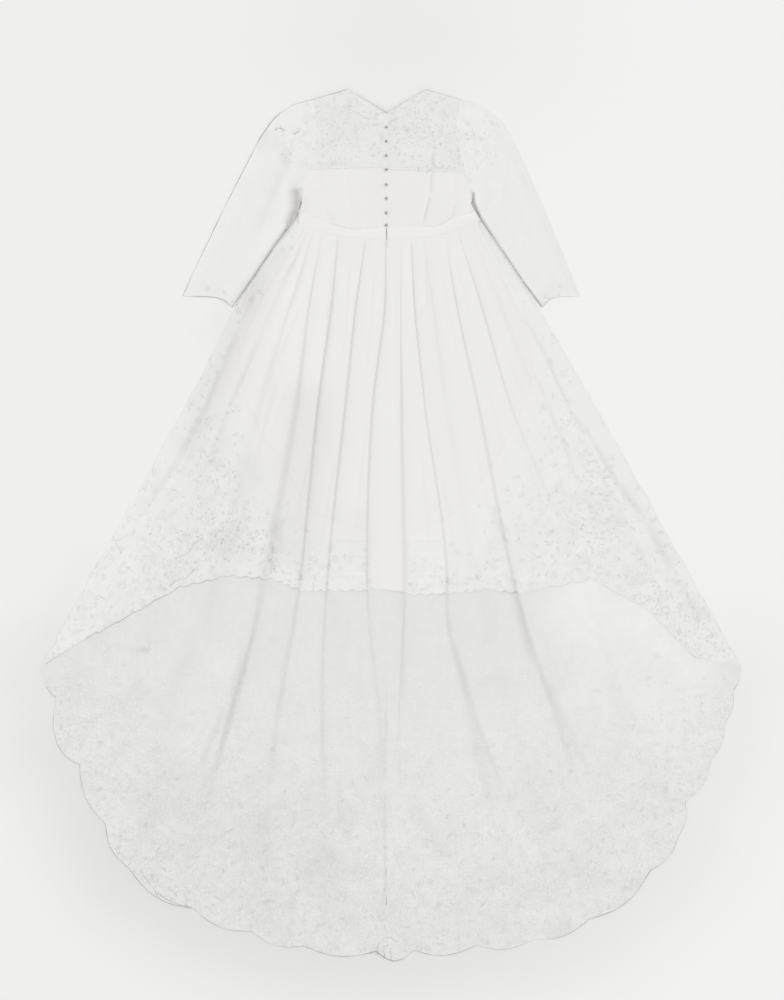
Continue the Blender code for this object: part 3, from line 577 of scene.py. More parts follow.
def new_finish(name, roughness, sheen, colour):
    """A material with its constants on the shader's own sockets."""
    finish = bpy.data.materials.new(name)
    finish.use_nodes = True
    tree = finish.node_tree
    shader = tree.nodes["Principled BSDF"]
    shader.inputs["Base Color"].default_value = (*colour, 1.0)
    shader.inputs["Roughness"].default_value = roughness
    shader.inputs["Sheen Weight"].default_value = sheen
    shader.inputs["Specular IOR Level"].default_value = 0.3
    finish.diffuse_color = (*colour, 1.0)
    place = add_node(tree, "ShaderNodeTexCoord").outputs["Object"]
    return finish, tree, shader, place


def woven(name, light, dark, roughness, sheen, threads, patch, bump):
    """A woven finish: two tones that drift into each other, and crossing threads as bump."""
    finish, tree, shader, place = new_finish(name, roughness, sheen, light)
    weave = add_node(tree, "ShaderNodeGroup", node_tree=WEAVE)
    for socket, value in (("Threads", threads), ("Patch", patch)):
        weave.inputs[socket].default_value = value
    tree.links.new(place, weave.inputs["Vector"])
    tone = add_node(tree, "ShaderNodeMix", {
        0: weave.outputs["Tone"], 6: (*dark, 1.0), 7: (*light, 1.0)}, data_type='RGBA').outputs[2]
    shaded(tree, shader, tone)
    # worn smoother where the tone is light, rougher where it is dark
    rough = maths(tree, 'MULTIPLY_ADD', weave.outputs["Tone"], -0.12, roughness + 0.06)
    tree.links.new(rough, shader.inputs["Roughness"])
    relief = add_node(tree, "ShaderNodeBump", {
        "Height": weave.outputs["Height"], "Strength": bump, "Distance": 0.0002}).outputs[0]
    tree.links.new(relief, shader.inputs["Normal"])
    return finish


# name; light and dark tone; roughness; sheen; scales of threads and patches; strength of bump
satin = woven("ivory_satin", (0.875, 0.868, 0.845), (0.85, 0.843, 0.818), 0.46, 0.15, 520, 6, 0.12)
band_satin = woven("waistband_satin", (0.895, 0.888, 0.862), (0.87, 0.862, 0.835), 0.5, 0.15, 520, 9, 0.2)
thread = woven("lace_thread", (0.9, 0.9, 0.885), (0.855, 0.855, 0.84), 0.75, 0.1, 700, 45, 0.6)
# the cord is grey partly as painted shadow: the thin dark line along each edge it binds
grey_cord_and_shadow = woven("edge_cord_painted_shadow", (0.5, 0.5, 0.48), (0.4, 0.4, 0.385), 0.7, 0.1, 900, 30, 0.6)
# the covered buttons' silk is painted dark grey: painted shade, which makes each small dome a dark dot
button_painted_shade = woven("button_silk_painted_shade", (0.4, 0.39, 0.38), (0.34, 0.33, 0.325), 0.3, 0.1, 900, 60, 0.3)
# the eyelets are grey discs: painted shade, the shade that each small hole in the lace shows
painted_eyelet_shade = woven("eyelet_hole_painted_shade", (0.74, 0.74, 0.725), (0.62, 0.62, 0.61), 0.9, 0.0, 900, 60, 0.2)
# the outline thread is grey partly as painted shade along the raised cord
outline_shade_finish = woven("outline_thread_painted_shade", (0.8, 0.8, 0.785), (0.7, 0.7, 0.69), 0.9, 0.0, 900, 30, 0.2)
print("woven finishes:", satin.name, band_satin.name, thread.name, grey_cord_and_shadow.name)


# %% Net and lace, which let through what lies below
IVORY = (0.872, 0.865, 0.842)  # plain net over satin looks like the satin
BRIGHTEST = 0.93


def lace_cloth(name, colour, mesh_alpha, thread_alpha, on_satin, flowers, meshes, depth):
    """The attribute "lace" says how much of the net is worked: 0 is plain, 1 is full lace.
    "fray" says where its edge thins out, and "doubled" where two layers lie on each other. A
    lace that lies on satin takes the satin's tone where it isn't worked, because net can't be
    told from the satin below it."""
    finish, tree, shader, place = new_finish(name, 0.8, 0.05, colour)
    worked, fray, doubled = (
        add_node(tree, "ShaderNodeAttribute", attribute_name=said).outputs["Fac"]
        for said in ("lace", "fray", "doubled"))
    net = add_node(tree, "ShaderNodeGroup", node_tree=NET)
    small = add_node(tree, "ShaderNodeGroup", node_tree=FLOWERS)
    for group, socket, value in ((net, "Meshes", meshes), (small, "Flowers", flowers)):
        group.inputs[socket].default_value = value
        tree.links.new(place, group.inputs["Vector"])
    # three noises: where flowers stand in groups, how the edge frays, how the tone drifts
    patchy, streaky, cloudy = (add_node(tree, "ShaderNodeTexNoise", {
        "Vector": place, "Scale": scale, "Detail": detail, "Roughness": 0.6, "Distortion": twist,
    }).outputs["Fac"] for scale, detail, twist in ((22.0, 3.0, 0.0), (30.0, 4.0, 1.4), (9.0, 4.0, 0.8)))

    def times(a, b, **how):
        return maths(tree, 'MULTIPLY', a, b, **how)

    def ramp(value, slope, offset, **how):
        return maths(tree, 'MULTIPLY_ADD', value, slope, offset, **how)

    def rest_of(value):
        return maths(tree, 'SUBTRACT', 1.0, value)

    # how dense the cloth is: holes of the net, worked ground, flowers
    begun = times(worked, 3.0, clamp=True)
    amount = times(worked, ramp(patchy, 3.6, -1.3, clamp=True), clamp=True)
    fill = times(small.outputs["Petals"], amount)
    ground = ramp(net.outputs["Threads"], thread_alpha - mesh_alpha, mesh_alpha)
    worked_ground = ramp(rest_of(ground), times(worked, 0.6), ground)
    room = maths(tree, 'SUBTRACT', 0.99, worked_ground)
    whole = maths(tree, 'ADD', worked_ground, times(fill, room), clamp=True)
    if on_satin:
        whole = rest_of(times(begun, rest_of(whole)))
    # the edge frays in streaks, and a doubled net closes up
    edge = ramp(maths(tree, 'ADD', fray, ramp(streaky, 0.8, -0.4)), -40.0, 30.6, clamp=True)
    edge = maths(tree, 'MAXIMUM', edge, maths(tree, 'LESS_THAN', fray, 0.02))
    if on_satin:
        edge = times(edge, maths(tree, 'GREATER_THAN', worked, 0.01))
    whole = ramp(rest_of(whole), doubled, whole)
    tree.links.new(times(whole, edge), shader.inputs["Alpha"])
    # the tone is deeper between the flowers, painted shade in the gaps there, and drifts at random in clouds
    # and streaks
    pale = tuple(min(c * 1.015, BRIGHTEST) for c in colour)
    deep = tuple(c * depth for c in colour)
    painted_gap_shade = times(rest_of(small.outputs["Petals"]), times(amount, 0.25))
    clouds = ramp(cloudy, 2.6, -0.85, clamp=True)
    streaks = ramp(streaky, 2.6, -1.1, clamp=True)
    drift = ramp(streaks, 0.55, times(clouds, 0.6))
    uneven = times(drift, ramp(worked, 0.7, 0.3, clamp=True))
    tone = add_node(tree, "ShaderNodeMix", {
        0: maths(tree, 'ADD', painted_gap_shade, uneven, clamp=True),
        6: (*pale, 1.0), 7: (*deep, 1.0)}, data_type='RGBA').outputs[2]
    if on_satin:
        tone = add_node(tree, "ShaderNodeMix", {
            0: begun, 6: (*IVORY, 1.0), 7: tone}, data_type='RGBA').outputs[2]
    shaded(tree, shader, tone)
    # relief: the flowers stand out, the net's threads a little
    height = times(fill, small.outputs["Depth"])
    height = maths(tree, 'ADD', height, times(net.outputs["Threads"], 0.15))
    relief = add_node(tree, "ShaderNodeBump", {
        "Height": height, "Strength": 0.35, "Distance": 0.001}).outputs[0]
    tree.links.new(relief, shader.inputs["Normal"])
    return finish


# name; colour; how dense it is in a mesh and on a thread; whether it lies on satin; flowers
# and meshes in a metre; how light its deep tone is
tulle = lace_cloth("pale_tulle", (0.894, 0.892, 0.886), 0.82, 0.96, False, 92.0, 330.0, 0.865)
lace = lace_cloth("white_lace", (0.903, 0.901, 0.884), 0.95, 0.99, True, 95.0, 330.0, 0.925)
sleeve_lace = lace_cloth("sleeve_lace", (0.895, 0.893, 0.872), 0.95, 0.99, False, 110.0, 330.0, 0.95)
yoke_lace = lace_cloth("yoke_lace", (0.897, 0.896, 0.874), 0.86, 0.96, True, 120.0, 330.0, 0.92)
hem_lace = lace_cloth("hem_lace", (0.892, 0.89, 0.869), 0.97, 0.99, True, 90.0, 330.0, 0.9)
print("net and lace:", [made.name for made in (tulle, lace, sleeve_lace, yoke_lace, hem_lace)])

# %% [markdown]
# ## Making a piece of cloth
# Every panel is a grid of points that is closed into quads. Satin gets a thin wall; net and
# lace are thinner than any wall worth giving them and stay single. The same grid says what
# size the panel was cut to, because cloth hardly stretches: its longest row and column,
# measured over all its folds, are the width and length of the flat cut.

# %% Grids, pieces and sheets
made_pieces, grids = {}, {}


def new_object(name, data):
    """An object in the scene, at the origin."""
    made = bpy.data.objects.new(name, data)
    bpy.context.scene.collection.objects.link(made)
    return made


def to_world(points):
    """From millimetres at the waist to metres in the model's frame."""
    return points * MM + np.array((CENTRE_X, WAIST_Y, 0.0))


def with_height(points, height):
    return np.concatenate([points, height[..., None]], axis=-1)


def face_up(points):
    """The grid, turned round if its faces would look down."""
    across, down = points[0, -1, :2] - points[0, 0, :2], points[-1, 0, :2] - points[0, 0, :2]
    return points[:, ::-1] if down[0] * across[1] < down[1] * across[0] else points


def grid_mesh(name, points, closed=False):
    """A mesh of quads; a closed grid's last column joins its first."""
    rows, columns = points.shape[:2]
    corner = np.arange(rows * columns).reshape(rows, columns)
    beside = np.roll(corner, -1, axis=1)
    if not closed:
        corner, beside = corner[:, :-1], beside[:, :-1]
    faces = np.stack([corner[:-1], corner[1:], beside[1:], beside[:-1]], axis=-1).reshape(-1, 4)
    mesh = bpy.data.meshes.new(name)
    mesh.from_pydata(to_world(points.reshape(-1, 3)).tolist(), [], faces.tolist())
    mesh.update()
    mesh.shade_smooth()
    # the rim of a panel is a cut edge, so its wall isn't shaded as if it were rounded
    used = np.zeros(len(mesh.loops), dtype=np.int32)
    mesh.loops.foreach_get("edge_index", used)
    rim = np.bincount(used, minlength=len(mesh.edges)) == 1
    mesh.attributes.new("sharp_edge", 'BOOLEAN', 'EDGE').data.foreach_set("value", rim)
    return mesh


def note(mesh, name, values):
    """Keep one number for each point of a mesh, under a name."""
    mesh.attributes.new(name, 'FLOAT', 'POINT').data.foreach_set(
        "value", np.ascontiguousarray(values, dtype=np.float32).ravel())


def add_piece(name, mesh, finish):
    """A piece that rides on the gown's one body."""
    piece = new_object(name, mesh)
    if not mesh.materials:
        mesh.materials.append(finish)
    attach(piece, "root")
    made_pieces[name] = piece
    return piece


def cloth(name, points, finish, wall=0.0, worked=None, fray=None, closed=False):
    """A panel from its upper face. worked is how much lace its net carries at each point, and
    fray is 1 where its edge has thinned out."""
    if not closed:
        turned_over = face_up(points)
        if turned_over is not points:
            worked = None if worked is None else worked[:, ::-1]
            fray = None if fray is None else fray[:, ::-1]
        points = turned_over
    mesh = grid_mesh(name, points, closed)
    note(mesh, "shade", np.clip(creases(points[..., :2], SHADED), 0.0, 1.0))
    if worked is not None:
        note(mesh, "lace", worked)
        note(mesh, "doubled", soft_spots(points[..., :2], DOUBLED))
        note(mesh, "open", soft_spots(points[..., :2], OPENWORK) * smooth(worked * 4))
    if fray is not None:
        note(mesh, "fray", fray)
    piece = add_piece(name, mesh, finish)
    grids[name] = points
    if wall:
        shell = piece.modifiers.new("wall", 'SOLIDIFY')
        shell.thickness, shell.offset = wall * MM, -1.0
    return piece


def declare(points, node, slanted=False, upper=None):
    """Measure the piece's flat cut, which isn't kept, and hide the solid that it stands for. A
    slanted panel's cut is measured along its own long axis, and a tube's width is twice that of
    its upper half."""
    across = points if upper is None else upper
    rows = np.linalg.norm(np.diff(across, axis=1), axis=-1).sum(axis=1)
    columns = np.linalg.norm(np.diff(points, axis=0), axis=-1).sum(axis=0)
    width, length = rows.max() * MM, columns.max() * MM
    if upper is not None:
        width = 2 * width
    if slanted:
        flat = points.reshape(-1, 3)[:, :2] - points.reshape(-1, 3)[:, :2].mean(axis=0)
        spans = np.ptp(flat @ np.linalg.svd(flat, full_matrices=False)[2].T, axis=0)
        width, length = spans.min() * MM, spans.max() * MM
    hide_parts(node)


# %% [markdown]
# ## The satin skirt
# The satin is one pleated layer on a flat one. Its back is three panels: a plain one down the
# centre and two that fan out. They are drawn on the shared lines with thirty columns to a
# pleat, so the crests stay round, and the three stitched tucks above the hem are raised into
# the same surface.

# %% The back of the skirt in three panels
CROWDED = 0.55  # how strongly a pleat's columns crowd towards its drop


def pleat_places(first, last, per_pleat):
    """Places from one line to another, closer together where each pleat drops."""
    even = np.linspace(0.0, 1.0, per_pleat + 1)[:-1]
    step = even + CROWDED * even * (1 - even)
    return np.append((np.arange(first, last)[:, None] + step).ravel(), last)


def lines_grid(first, last, start, stop, per_pleat, rows):
    """Places and stations of a grid between two lines."""
    return np.meshgrid(pleat_places(first, last, per_pleat), np.linspace(start, stop, rows + 1))


HEM_SINKS, HEM_SOFT = 1.3, 0.07  # how far the hem sinks onto the tulle, and from where


def hem_sink(station):
    return HEM_SINKS * smooth((station - (HEM - HEM_SOFT)) / HEM_SOFT)


def skirt_surface(place, station, top):
    points, width = between_lines(place, station)
    height = fold_height(place, station, width) + tucks(points)
    height = height + creases(points, SKIRT_CREASES) * smooth(station * 3)
    return with_height(points, top + (height - hem_sink(station)))


PLEAT_COLUMNS, PANEL_ROWS = 30, 150
SATIN_WALL, FRONT_WALL = 0.8, 1.4
for name, first, last, node in (
    ("satin_panel_left", SATIN_LEFT, CENTRE_LEFT, "skirt_left"),
    ("satin_panel_centre", CENTRE_LEFT, CENTRE_RIGHT, "centre_panel"),
    ("satin_panel_right", CENTRE_RIGHT, SATIN_RIGHT, "skirt_right"),
):
    place, station = lines_grid(first, last, WAIST, HEM, PLEAT_COLUMNS, PANEL_ROWS)
    points = skirt_surface(place, station, SATIN_TOP)
    piece = cloth(name, points, satin, wall=SATIN_WALL)
    declare(points, node)

# %% The flat front of the skirt
FRONT_STOPS = HEM - 0.1  # the front ends a little above the back's hem
place, station = lines_grid(SATIN_LEFT, SATIN_RIGHT, WAIST, FRONT_STOPS, 6, 60)
points, width = between_lines(place, station)
points = with_height(points, np.full(width.shape, FRONT_TOP))
satin_front = cloth("satin_front", points, satin, wall=FRONT_WALL)
declare(points, "front_skirt")

# %% [markdown]
# ## The waistband
# The band is cut on a curve that dips at the centre back and is open there, where the gown
# buttons. Its two halves meet at a dark slit, so each half rises a little at its end. Its
# face is rounded from edge to edge and ripples slightly over the seams inside it.

# %% Back halves, front band and the slit between the halves
LAP = 1.6  # how far the band laps over the skirt and the bodice


def band_points(x_low, count, top, roll, lap=0.0):
    """Columns of the band from its lower to its upper edge, rounded by roll."""
    x_top = x_low * BAND_TOP / np.where(x_low < 0, BAND_LEFT, BAND_RIGHT)
    share = np.linspace(0.0, 1.0, count)[:, None]
    low_y, top_y = waist_edge(x_low) - lap, band_edge(x_top) + lap
    x, y = x_low + (x_top - x_low) * share, low_y + (top_y - low_y) * share
    crown = roll * (1 - (2 * share - 1) ** 4) * np.ones_like(x)
    return np.stack([x, y, top + crown + 0.6 * share], axis=-1)


SLIT, NEAR_SLIT = 1.1, 3.0  # half the slit; how far from it the halves rise
RISE, RIPPLE = 0.3, 0.2
for name, start, stop, node in (
    ("band_left", -BAND_LEFT, -SLIT, "waistband_left"),
    ("band_right", SLIT, BAND_RIGHT, "waistband_right"),
):
    points = band_points(np.linspace(start, stop, 161), 17, SATIN_TOP - 0.3, 1.7, LAP)
    x, y = points[..., 0], points[..., 1]
    near = np.exp(-((np.abs(x) - SLIT) / NEAR_SLIT) ** 2)
    points[..., 2] += RISE * near + RIPPLE * np.sin(x / 9.0) * np.sin(y / 5.0)
    piece = cloth(name, points, band_satin, wall=0.6)
    declare(points, node)
points = band_points(np.linspace(-BAND_LEFT, BAND_RIGHT, 81), 5, FRONT_TOP, 0.0)
points[..., 2] = FRONT_TOP
band_front = cloth("band_front", points, band_satin, wall=FRONT_WALL)
declare(points, "front_waistband")

# %% [markdown]
# ## The bodice
# A satin underbodice reaches to the shoulder blades, and the lace goes on over it up to the
# shoulders, so the yoke is darker where only lace lies on the front. Two shaping darts run up
# from the waist. Both layers are made from the same rule, the lace a little higher.

# %% Points of the bodice, with its darts and armhole seams
DARTS = [(126, 252, 124, 205, 5, 5, 1.4, 6), (124, 205, 117, 127, 6, 6, 1.8, 6),
         (117, 127, 98, 46, 6, 6, 1.8, 6), (-112, 205, -92, 50, 8, 8, 0.8, 4)]
SIDE_ROLLS = [(-190, 236, -176, 120, 9, 9, 1.0, 4), (186, 236, 176, 110, 9, 9, 1.0, 4),
              (-60, 190, -40, 60, 26, 26, 0.8, 3), (60, 190, 44, 60, 26, 26, 0.8, 3),
              (-222, 134, -224, 70, 12, 9, 2.4, 4), (222, 134, 226, 70, 9, 12, 3.0, 4)]
ARMHOLE_SINKS = 0.5  # how much lower the bodice lies at its armhole seam


def bodice_points(share, up, side, top):
    """Points at a share of the way from the centre to the side, and of the way up."""
    table = np.array([row[1:] for row in BODICE], float)
    steps = np.arange(len(BODICE)) / (len(BODICE) - 1)
    centre_x, centre_y, side_x, side_y = (np.interp(up, steps, column) for column in table.T)
    x, y = centre_x + (side_x - centre_x) * share, centre_y + (side_y - centre_y) * share
    rib = steps[1]
    rib_y = table[1, 1] + (table[1, 3] - table[1, 1]) * share
    start_y = band_edge(side * x) + 0.4
    y = np.where(up < rib, start_y + (rib_y - start_y) * up / rib, y)
    crown = BODICE_CROWN * (1 - share ** 2) * np.sin(np.pi * up)
    points = np.stack([side * x, y], axis=-1)
    height = top + crown + creases(points, DARTS + SIDE_ROLLS)
    height = height - ARMHOLE_SINKS * smooth((share - 0.92) / 0.08) * smooth((up - 0.22) * 12)
    return with_height(points, height)


def bodice_grid(side, stop, rows, columns, top):
    """One half of the bodice from the waist up to stop, and how far up each point is."""
    share, up = np.meshgrid(np.linspace(0.0, 1.0, columns), np.linspace(0.0, stop, rows))
    return bodice_points(share, up, side, top), up


print(len(DARTS), "strokes of darts on the bodice")

# %% Front, underbodice and the lace over it
points, up = bodice_grid(1, 1.0, 57, 25, FRONT_TOP)
points[..., 2] = FRONT_TOP
for name, side in (("bodice_front_left", -1), ("bodice_front_right", 1)):
    half = points * (side, 1, 1)
    piece = cloth(name, half, satin, wall=FRONT_WALL)
    declare(half, "front_bodice")

YOKE_STARTS = {-1: YOKE, 1: YOKE - 0.016}  # the satin ends a little lower on the right
YOKE_SINKS = 0.6  # how much lower the lace lies where there is no satin below it
YOKE_LACE = 0.72  # how much of the yoke is worked
bodice_lace = []
for name, side in (("left", -1), ("right", 1)):
    starts = YOKE_STARTS[side]
    points, up = bodice_grid(side, starts, 70, 81, SATIN_TOP)
    under = cloth(f"satin_bodice_{name}", points, satin, wall=SATIN_WALL)
    declare(points, f"underbodice_{name}")
    points, up = bodice_grid(side, 1.0, 150, 81, LACE_TOP - YOKE_SINKS)
    points[..., 2] -= YOKE_SINKS * smooth((up - starts) * 8)
    worked = YOKE_LACE * smooth((up - starts + 0.012) * 45)
    piece = cloth(f"bodice_lace_{name}", points, yoke_lace, worked=worked)
    bodice_lace.append((piece, points, f"lace_back_{name}"))

# %% [markdown]
# ## Sleeves
# Each long sleeve is a flattened tube. Its back half carries the soft ridges that it gets
# when it is laid down: one along the inner fold, one down the middle, and a few gathers at its
# head where it was eased into the armhole. The underside stays flat on the floor.

# %% Two sleeves
SLEEVE_THICK, SLEEVE_ACROSS, SLEEVE_ROWS = 6.0, 73, 150
HEAD_THICK = 3.0  # at the armhole, where the sleeve laps over the bodice's edge
THIN_EDGE = {-1: 0.35, 1: 0.9}  # how much thinner each sleeve is at its outer edge
THIN_CUFF = {-1: 0.93, 1: 0.97}  # and at its cuff
ROLL_AT, OVER = 12.0, 3.0  # the roll's distance from the inner edge; how far the head laps over
BESIDE_BODICE = 0.6  # room between the sleeve and the bodice
CUFF_CURVE, CUFF = 28.0, 0.85  # how much the cuff's edge curves, and where that starts
GATHERED = 2.2  # height of the gathers at the sleeve's head
HEAD_LACE, CUFF_LACE = 0.75, 0.4  # how much more of it is worked there, and at the cuff
ARM_LACE = {-1: 0.16, 1: 0.3}  # and along the arm
SEAM_RISE = 38.0  # distance from the armhole seam at which the sleeve has its height
SLEEVE_RIDGES = [(0.30, 0.18, 1.8), (0.55, 0.09, 0.9)]
SLEEVE_CREASES = {
    -1: [(-352, 214, -305, 60, 14, 8, 1.8, 3), (-392, 110, -352, -20, 16, 9, 1.6, 3),
         (-452, -30, -430, -120, 18, 10, 1.4, 4), (-286, 300, -262, 140, 12, 9, 1.8, 3),
         (-300, 250, -250, 215, 14, 8, 1.2, 4), (-420, 60, -360, 20, 12, 8, 0.9, 4)],
    1: [(270, 330, 258, 150, 12, 8, 1.2, 3), (330, 250, 300, 60, 14, 8, 1.2, 3),
        (400, 100, 352, -40, 14, 9, 1.2, 3), (470, -40, 420, -130, 16, 9, 1.0, 4)],
}


def armhole_bow(share):
    """How far the armhole curves off the straight line from the shoulder to the armpit."""
    rows = np.array([row[3:] for row in BODICE[2:]], float)
    (arm_x, arm_y), (top_x, top_y) = rows[0], rows[-1]
    straight_x, straight_y = top_x + (arm_x - top_x) * share, top_y + (arm_y - top_y) * share
    return np.interp(straight_y, rows[:, 1], rows[:, 0]) - straight_x


def eased(values, reach=5):
    """Take the corners out of a row of numbers, and keep its ends."""
    start = 2 * values[0] - values[reach:0:-1]
    end = 2 * values[-1] - values[-2:-reach - 2:-1]
    window = np.ones(2 * reach + 1) / (2 * reach + 1)
    return np.convolve(np.concatenate([start, values, end]), window, mode="valid")


def distance_to(path, points):
    """Distance of each point from the nearest point of a path."""
    gaps = points[:, :, None, :] - path[None, None, :, :]
    return np.sqrt((gaps ** 2).sum(axis=-1)).min(axis=2)


def sleeve_points(side):
    """A flattened tube, and how far down the sleeve each point is. Each row starts at the
    outer edge, runs over the top to the inner edge, and comes back below."""
    table = np.array([row[1:] for row in SLEEVE], float)
    along = np.linspace(0.0, 1.0, SLEEVE_ROWS)
    outer_x, outer_y, more, inner_y, left_x, right_x, roll = (
        eased(np.interp(along, np.arange(len(SLEEVE)) / (len(SLEEVE) - 1), column))[:, None]
        for column in table.T
    )
    outer_x = outer_x + (more if side < 0 else 0.0)
    inner_x = left_x if side < 0 else right_x
    along = along[:, None]
    turn = np.linspace(0.0, np.pi, SLEEVE_ACROSS)
    share = np.concatenate([(1 - np.cos(turn)) / 2, (1 + np.cos(turn[1:-1])) / 2])[None, :]
    over = np.concatenate([np.ones(SLEEVE_ACROSS), np.zeros(SLEEVE_ACROSS - 2)])[None, :]
    x, y = outer_x + (inner_x - outer_x) * share, outer_y + (inner_y - outer_y) * share
    y = y + CUFF_CURVE * (share - share ** 6) * smooth((along - CUFF) / (1 - CUFF))
    bow = 1 - smooth(along * 3)
    lapped = OVER * over * (1 - smooth(along * 20))
    x = side * (x + BESIDE_BODICE + bow * armhole_bow(share) - lapped)
    points = np.stack([x, y], axis=-1)
    inner = np.concatenate([side * (inner_x + BESIDE_BODICE), inner_y], axis=1)
    apart = distance_to(inner, points) / ROLL_AT
    round_off = np.minimum(1.0, 26 * share) * np.minimum(1.0, 26 * (1 - share))
    edge = np.sqrt(np.clip(1 - (1 - round_off) ** 2, 0.0, 1.0))
    ridges = sum(h * np.exp(-((share - m) / w) ** 2) for m, w, h in SLEEVE_RIDGES)
    fade = smooth(along * 6) * (1 - 0.6 * along)
    gathers = GATHERED * np.cos(share * 7.3 * np.pi) ** 2
    gathers = gathers * smooth(along * 14) * (1 - smooth(along * 4))
    crumple = creases(points, SLEEVE_CREASES[side]) * edge
    half = (HEAD_THICK + (SLEEVE_THICK - HEAD_THICK) * smooth(along * 9)) / 2
    half = half * (1 - THIN_EDGE[side] * (1 - smooth(share * 5)))
    half = half * (1 - THIN_CUFF[side] * smooth((along - 0.93) / 0.07))
    top = half + half * edge + (ridges * fade + gathers) * edge + crumple
    top = top + roll * apart * np.exp(1 - apart) * edge
    seam = HEAD_THICK / 2 * (1 + edge)
    top = seam + (top - seam) * smooth(distance_to(points[0, :SLEEVE_ACROSS], points) / SEAM_RISE)
    points = with_height(points, np.where(over > 0, top, half - half * edge))
    return (points if side < 0 else points[:, ::-1]), np.broadcast_to(along, x.shape)


sleeves = []
for name, side in (("left", -1), ("right", 1)):
    points, along = sleeve_points(side)
    speckle = HEAD_LACE * (1 - smooth(along * 5)) + CUFF_LACE * smooth((along - 0.93) * 20)
    worked = np.clip(speckle + ARM_LACE[side], 0.0, 1.0)
    piece = cloth(f"sleeve_tube_{name}", points, sleeve_lace, worked=worked, closed=True)
    sleeves.append((piece, points, f"sleeve_{name}"))
print("sleeves of", len(sleeves[0][0].data.polygons), "faces each")

# %% [markdown]
# ## Overlays, hem lace, tulle and border
# Past the satin only net and lace lie on the floor. The tulle of the train starts under the
# hem and runs on to a wide lace border with a scalloped edge. The attribute "lace" grows
# towards that edge, so the border has no hard beginning: the net simply fills up.

# %% Side overlays
NET_TOP, OVER_SATIN = 1.2, 0.35  # height of its upper face on the floor, and over the satin
LAPPED = 1.3  # how many pleats the overlay reaches over
EDGE_THINS, EDGE_FRAYS = 14.0, 9.0  # how wide its thin edge and its frayed edge are
FULL_LACE = 0.92  # how much of it is worked near the hem
# how far the left side lies out beside the sleeve, from the waist down: station, millimetres
BESIDE_SLEEVE = [(0, 15), (0.12, 17), (0.9, 17), (1.05, 15), (1.5, 0), (3, 0)]
UNDER_BAND, UNDER_SINKS = 9.0, 0.2  # the overlay's top is tucked under the waistband
FIRST_LACE = {"left": 0.42, "right": 0.22}  # how much of it is worked near the waist
stations, outs = np.array(BESIDE_SLEEVE, float).T
overlays = []
for name, edge_line, inwards in (("left", 0, 1), ("right", SIDE_RIGHT, -1)):
    across = np.concatenate([np.linspace(0.0, 0.16, 9)[:-1], np.linspace(0.16, LAPPED, 36)])
    across, station = np.meshgrid(across, np.linspace(WAIST, HEM, 151))
    place = edge_line + inwards * across
    points, width = between_lines(place, station)
    if name == "left":
        points[..., 0] -= np.interp(station, stations, outs) * (1 - smooth(across))
    points[..., 1] += UNDER_BAND * (1 - smooth(station * 12))
    wander = 1.6 * np.sin(station * 31.0) + 1.3 * np.sin(station * 53.0 + 1.0)
    wander = wander + np.sin(station * 87.0)
    points[..., 0] -= inwards * wander * (1 - smooth(across * 4)) * smooth(station - 1.0)
    climb = smooth((across - 0.5) / 0.48)
    from_edge = smooth(across * width / EDGE_THINS)
    height = NET_TOP * (0.2 + 0.8 * from_edge) - UNDER_SINKS * (1 - smooth(station * 12))
    height = height + (SATIN_TOP + OVER_SATIN - NET_TOP) * climb
    height = height + fold_height(place, station, width)
    height = height + creases(points, SKIRT_CREASES) * smooth(station * 3)
    height = height - hem_sink(station) * climb
    worked = FIRST_LACE[name] + (FULL_LACE - FIRST_LACE[name]) * smooth(station - 1.8)
    worked = worked * (1 - smooth((across - 0.9) / (LAPPED - 0.9)))
    points = with_height(points, height)
    piece = cloth(f"side_lace_{name}", points, lace, worked=worked,
                  fray=1 - smooth(across * width / EDGE_FRAYS))
    overlays.append((piece, points, f"overlay_{name}"))
print("overlays of", [len(piece.data.polygons) for piece, _, _ in overlays], "faces")

# %% The lace on the hem, which climbs the sides of the skirt
HEM_OVERHANG, HEM_BENDS = 9.0, 1.1  # how far it hangs past the satin, and down
ON_SATIN, HEM_LACE_RISES = 0.12, 0.6  # its height over the satin where it starts, and more below
# places between the lines, and the station where the lace begins there
CLIMBS = [(1.0, 1.15), (2.0, 1.7), (3.0, 2.15), (4.0, 2.42), (5.0, 2.55), (6.0, 2.62), (7.0, 2.66),
          (8.0, 2.66), (9.0, 2.6), (10.0, 2.5), (11.0, 2.3), (12.0, 2.0), (13.0, 1.55), (14.0, 1.0)]
climb_places, climb_stations = np.array(CLIMBS).T
hem_laces = []
for name, first, last in (("left", SATIN_LEFT, CENTRE_LEFT), ("right", CENTRE_RIGHT, SATIN_RIGHT)):
    place, share = lines_grid(first, last, 0.0, 1.0, PLEAT_COLUMNS, 90)
    begins = np.interp(place, climb_places, climb_stations)
    station = begins + (HEM - begins) * share
    points = skirt_surface(place, station, SATIN_TOP + ON_SATIN)
    points[..., 2] += HEM_LACE_RISES * smooth(share * 6)
    down = points[-1] - points[-2]
    down[:, 2] = 0.0
    down /= length_of(down)
    reach = HEM_OVERHANG * (0.35 + 0.65 * np.abs(np.sin(place[0] * 3.5 * math.pi)))
    rows = [points] + [(points[-1] + down * (reach * t)[:, None] - (0, 0, HEM_BENDS * t))[None]
                       for t in (0.33, 0.66, 1.0)]
    points = np.concatenate(rows)
    share = np.concatenate([share, np.ones((3, share.shape[1]))])
    # less of it is worked near the middle
    aside = np.abs(np.concatenate([place, place[:3]]) - MIDDLE)
    dense = 0.55 + 0.4 * smooth((aside - 2.5) / 3.0)
    worked = dense * smooth(share * 1.15)
    piece = cloth(f"hem_border_{name}", points, hem_lace, worked=worked)
    hem_laces.append((piece, points, f"hem_lace_{name}"))
print("hem lace of", [len(piece.data.polygons) for piece, _, _ in hem_laces], "faces")

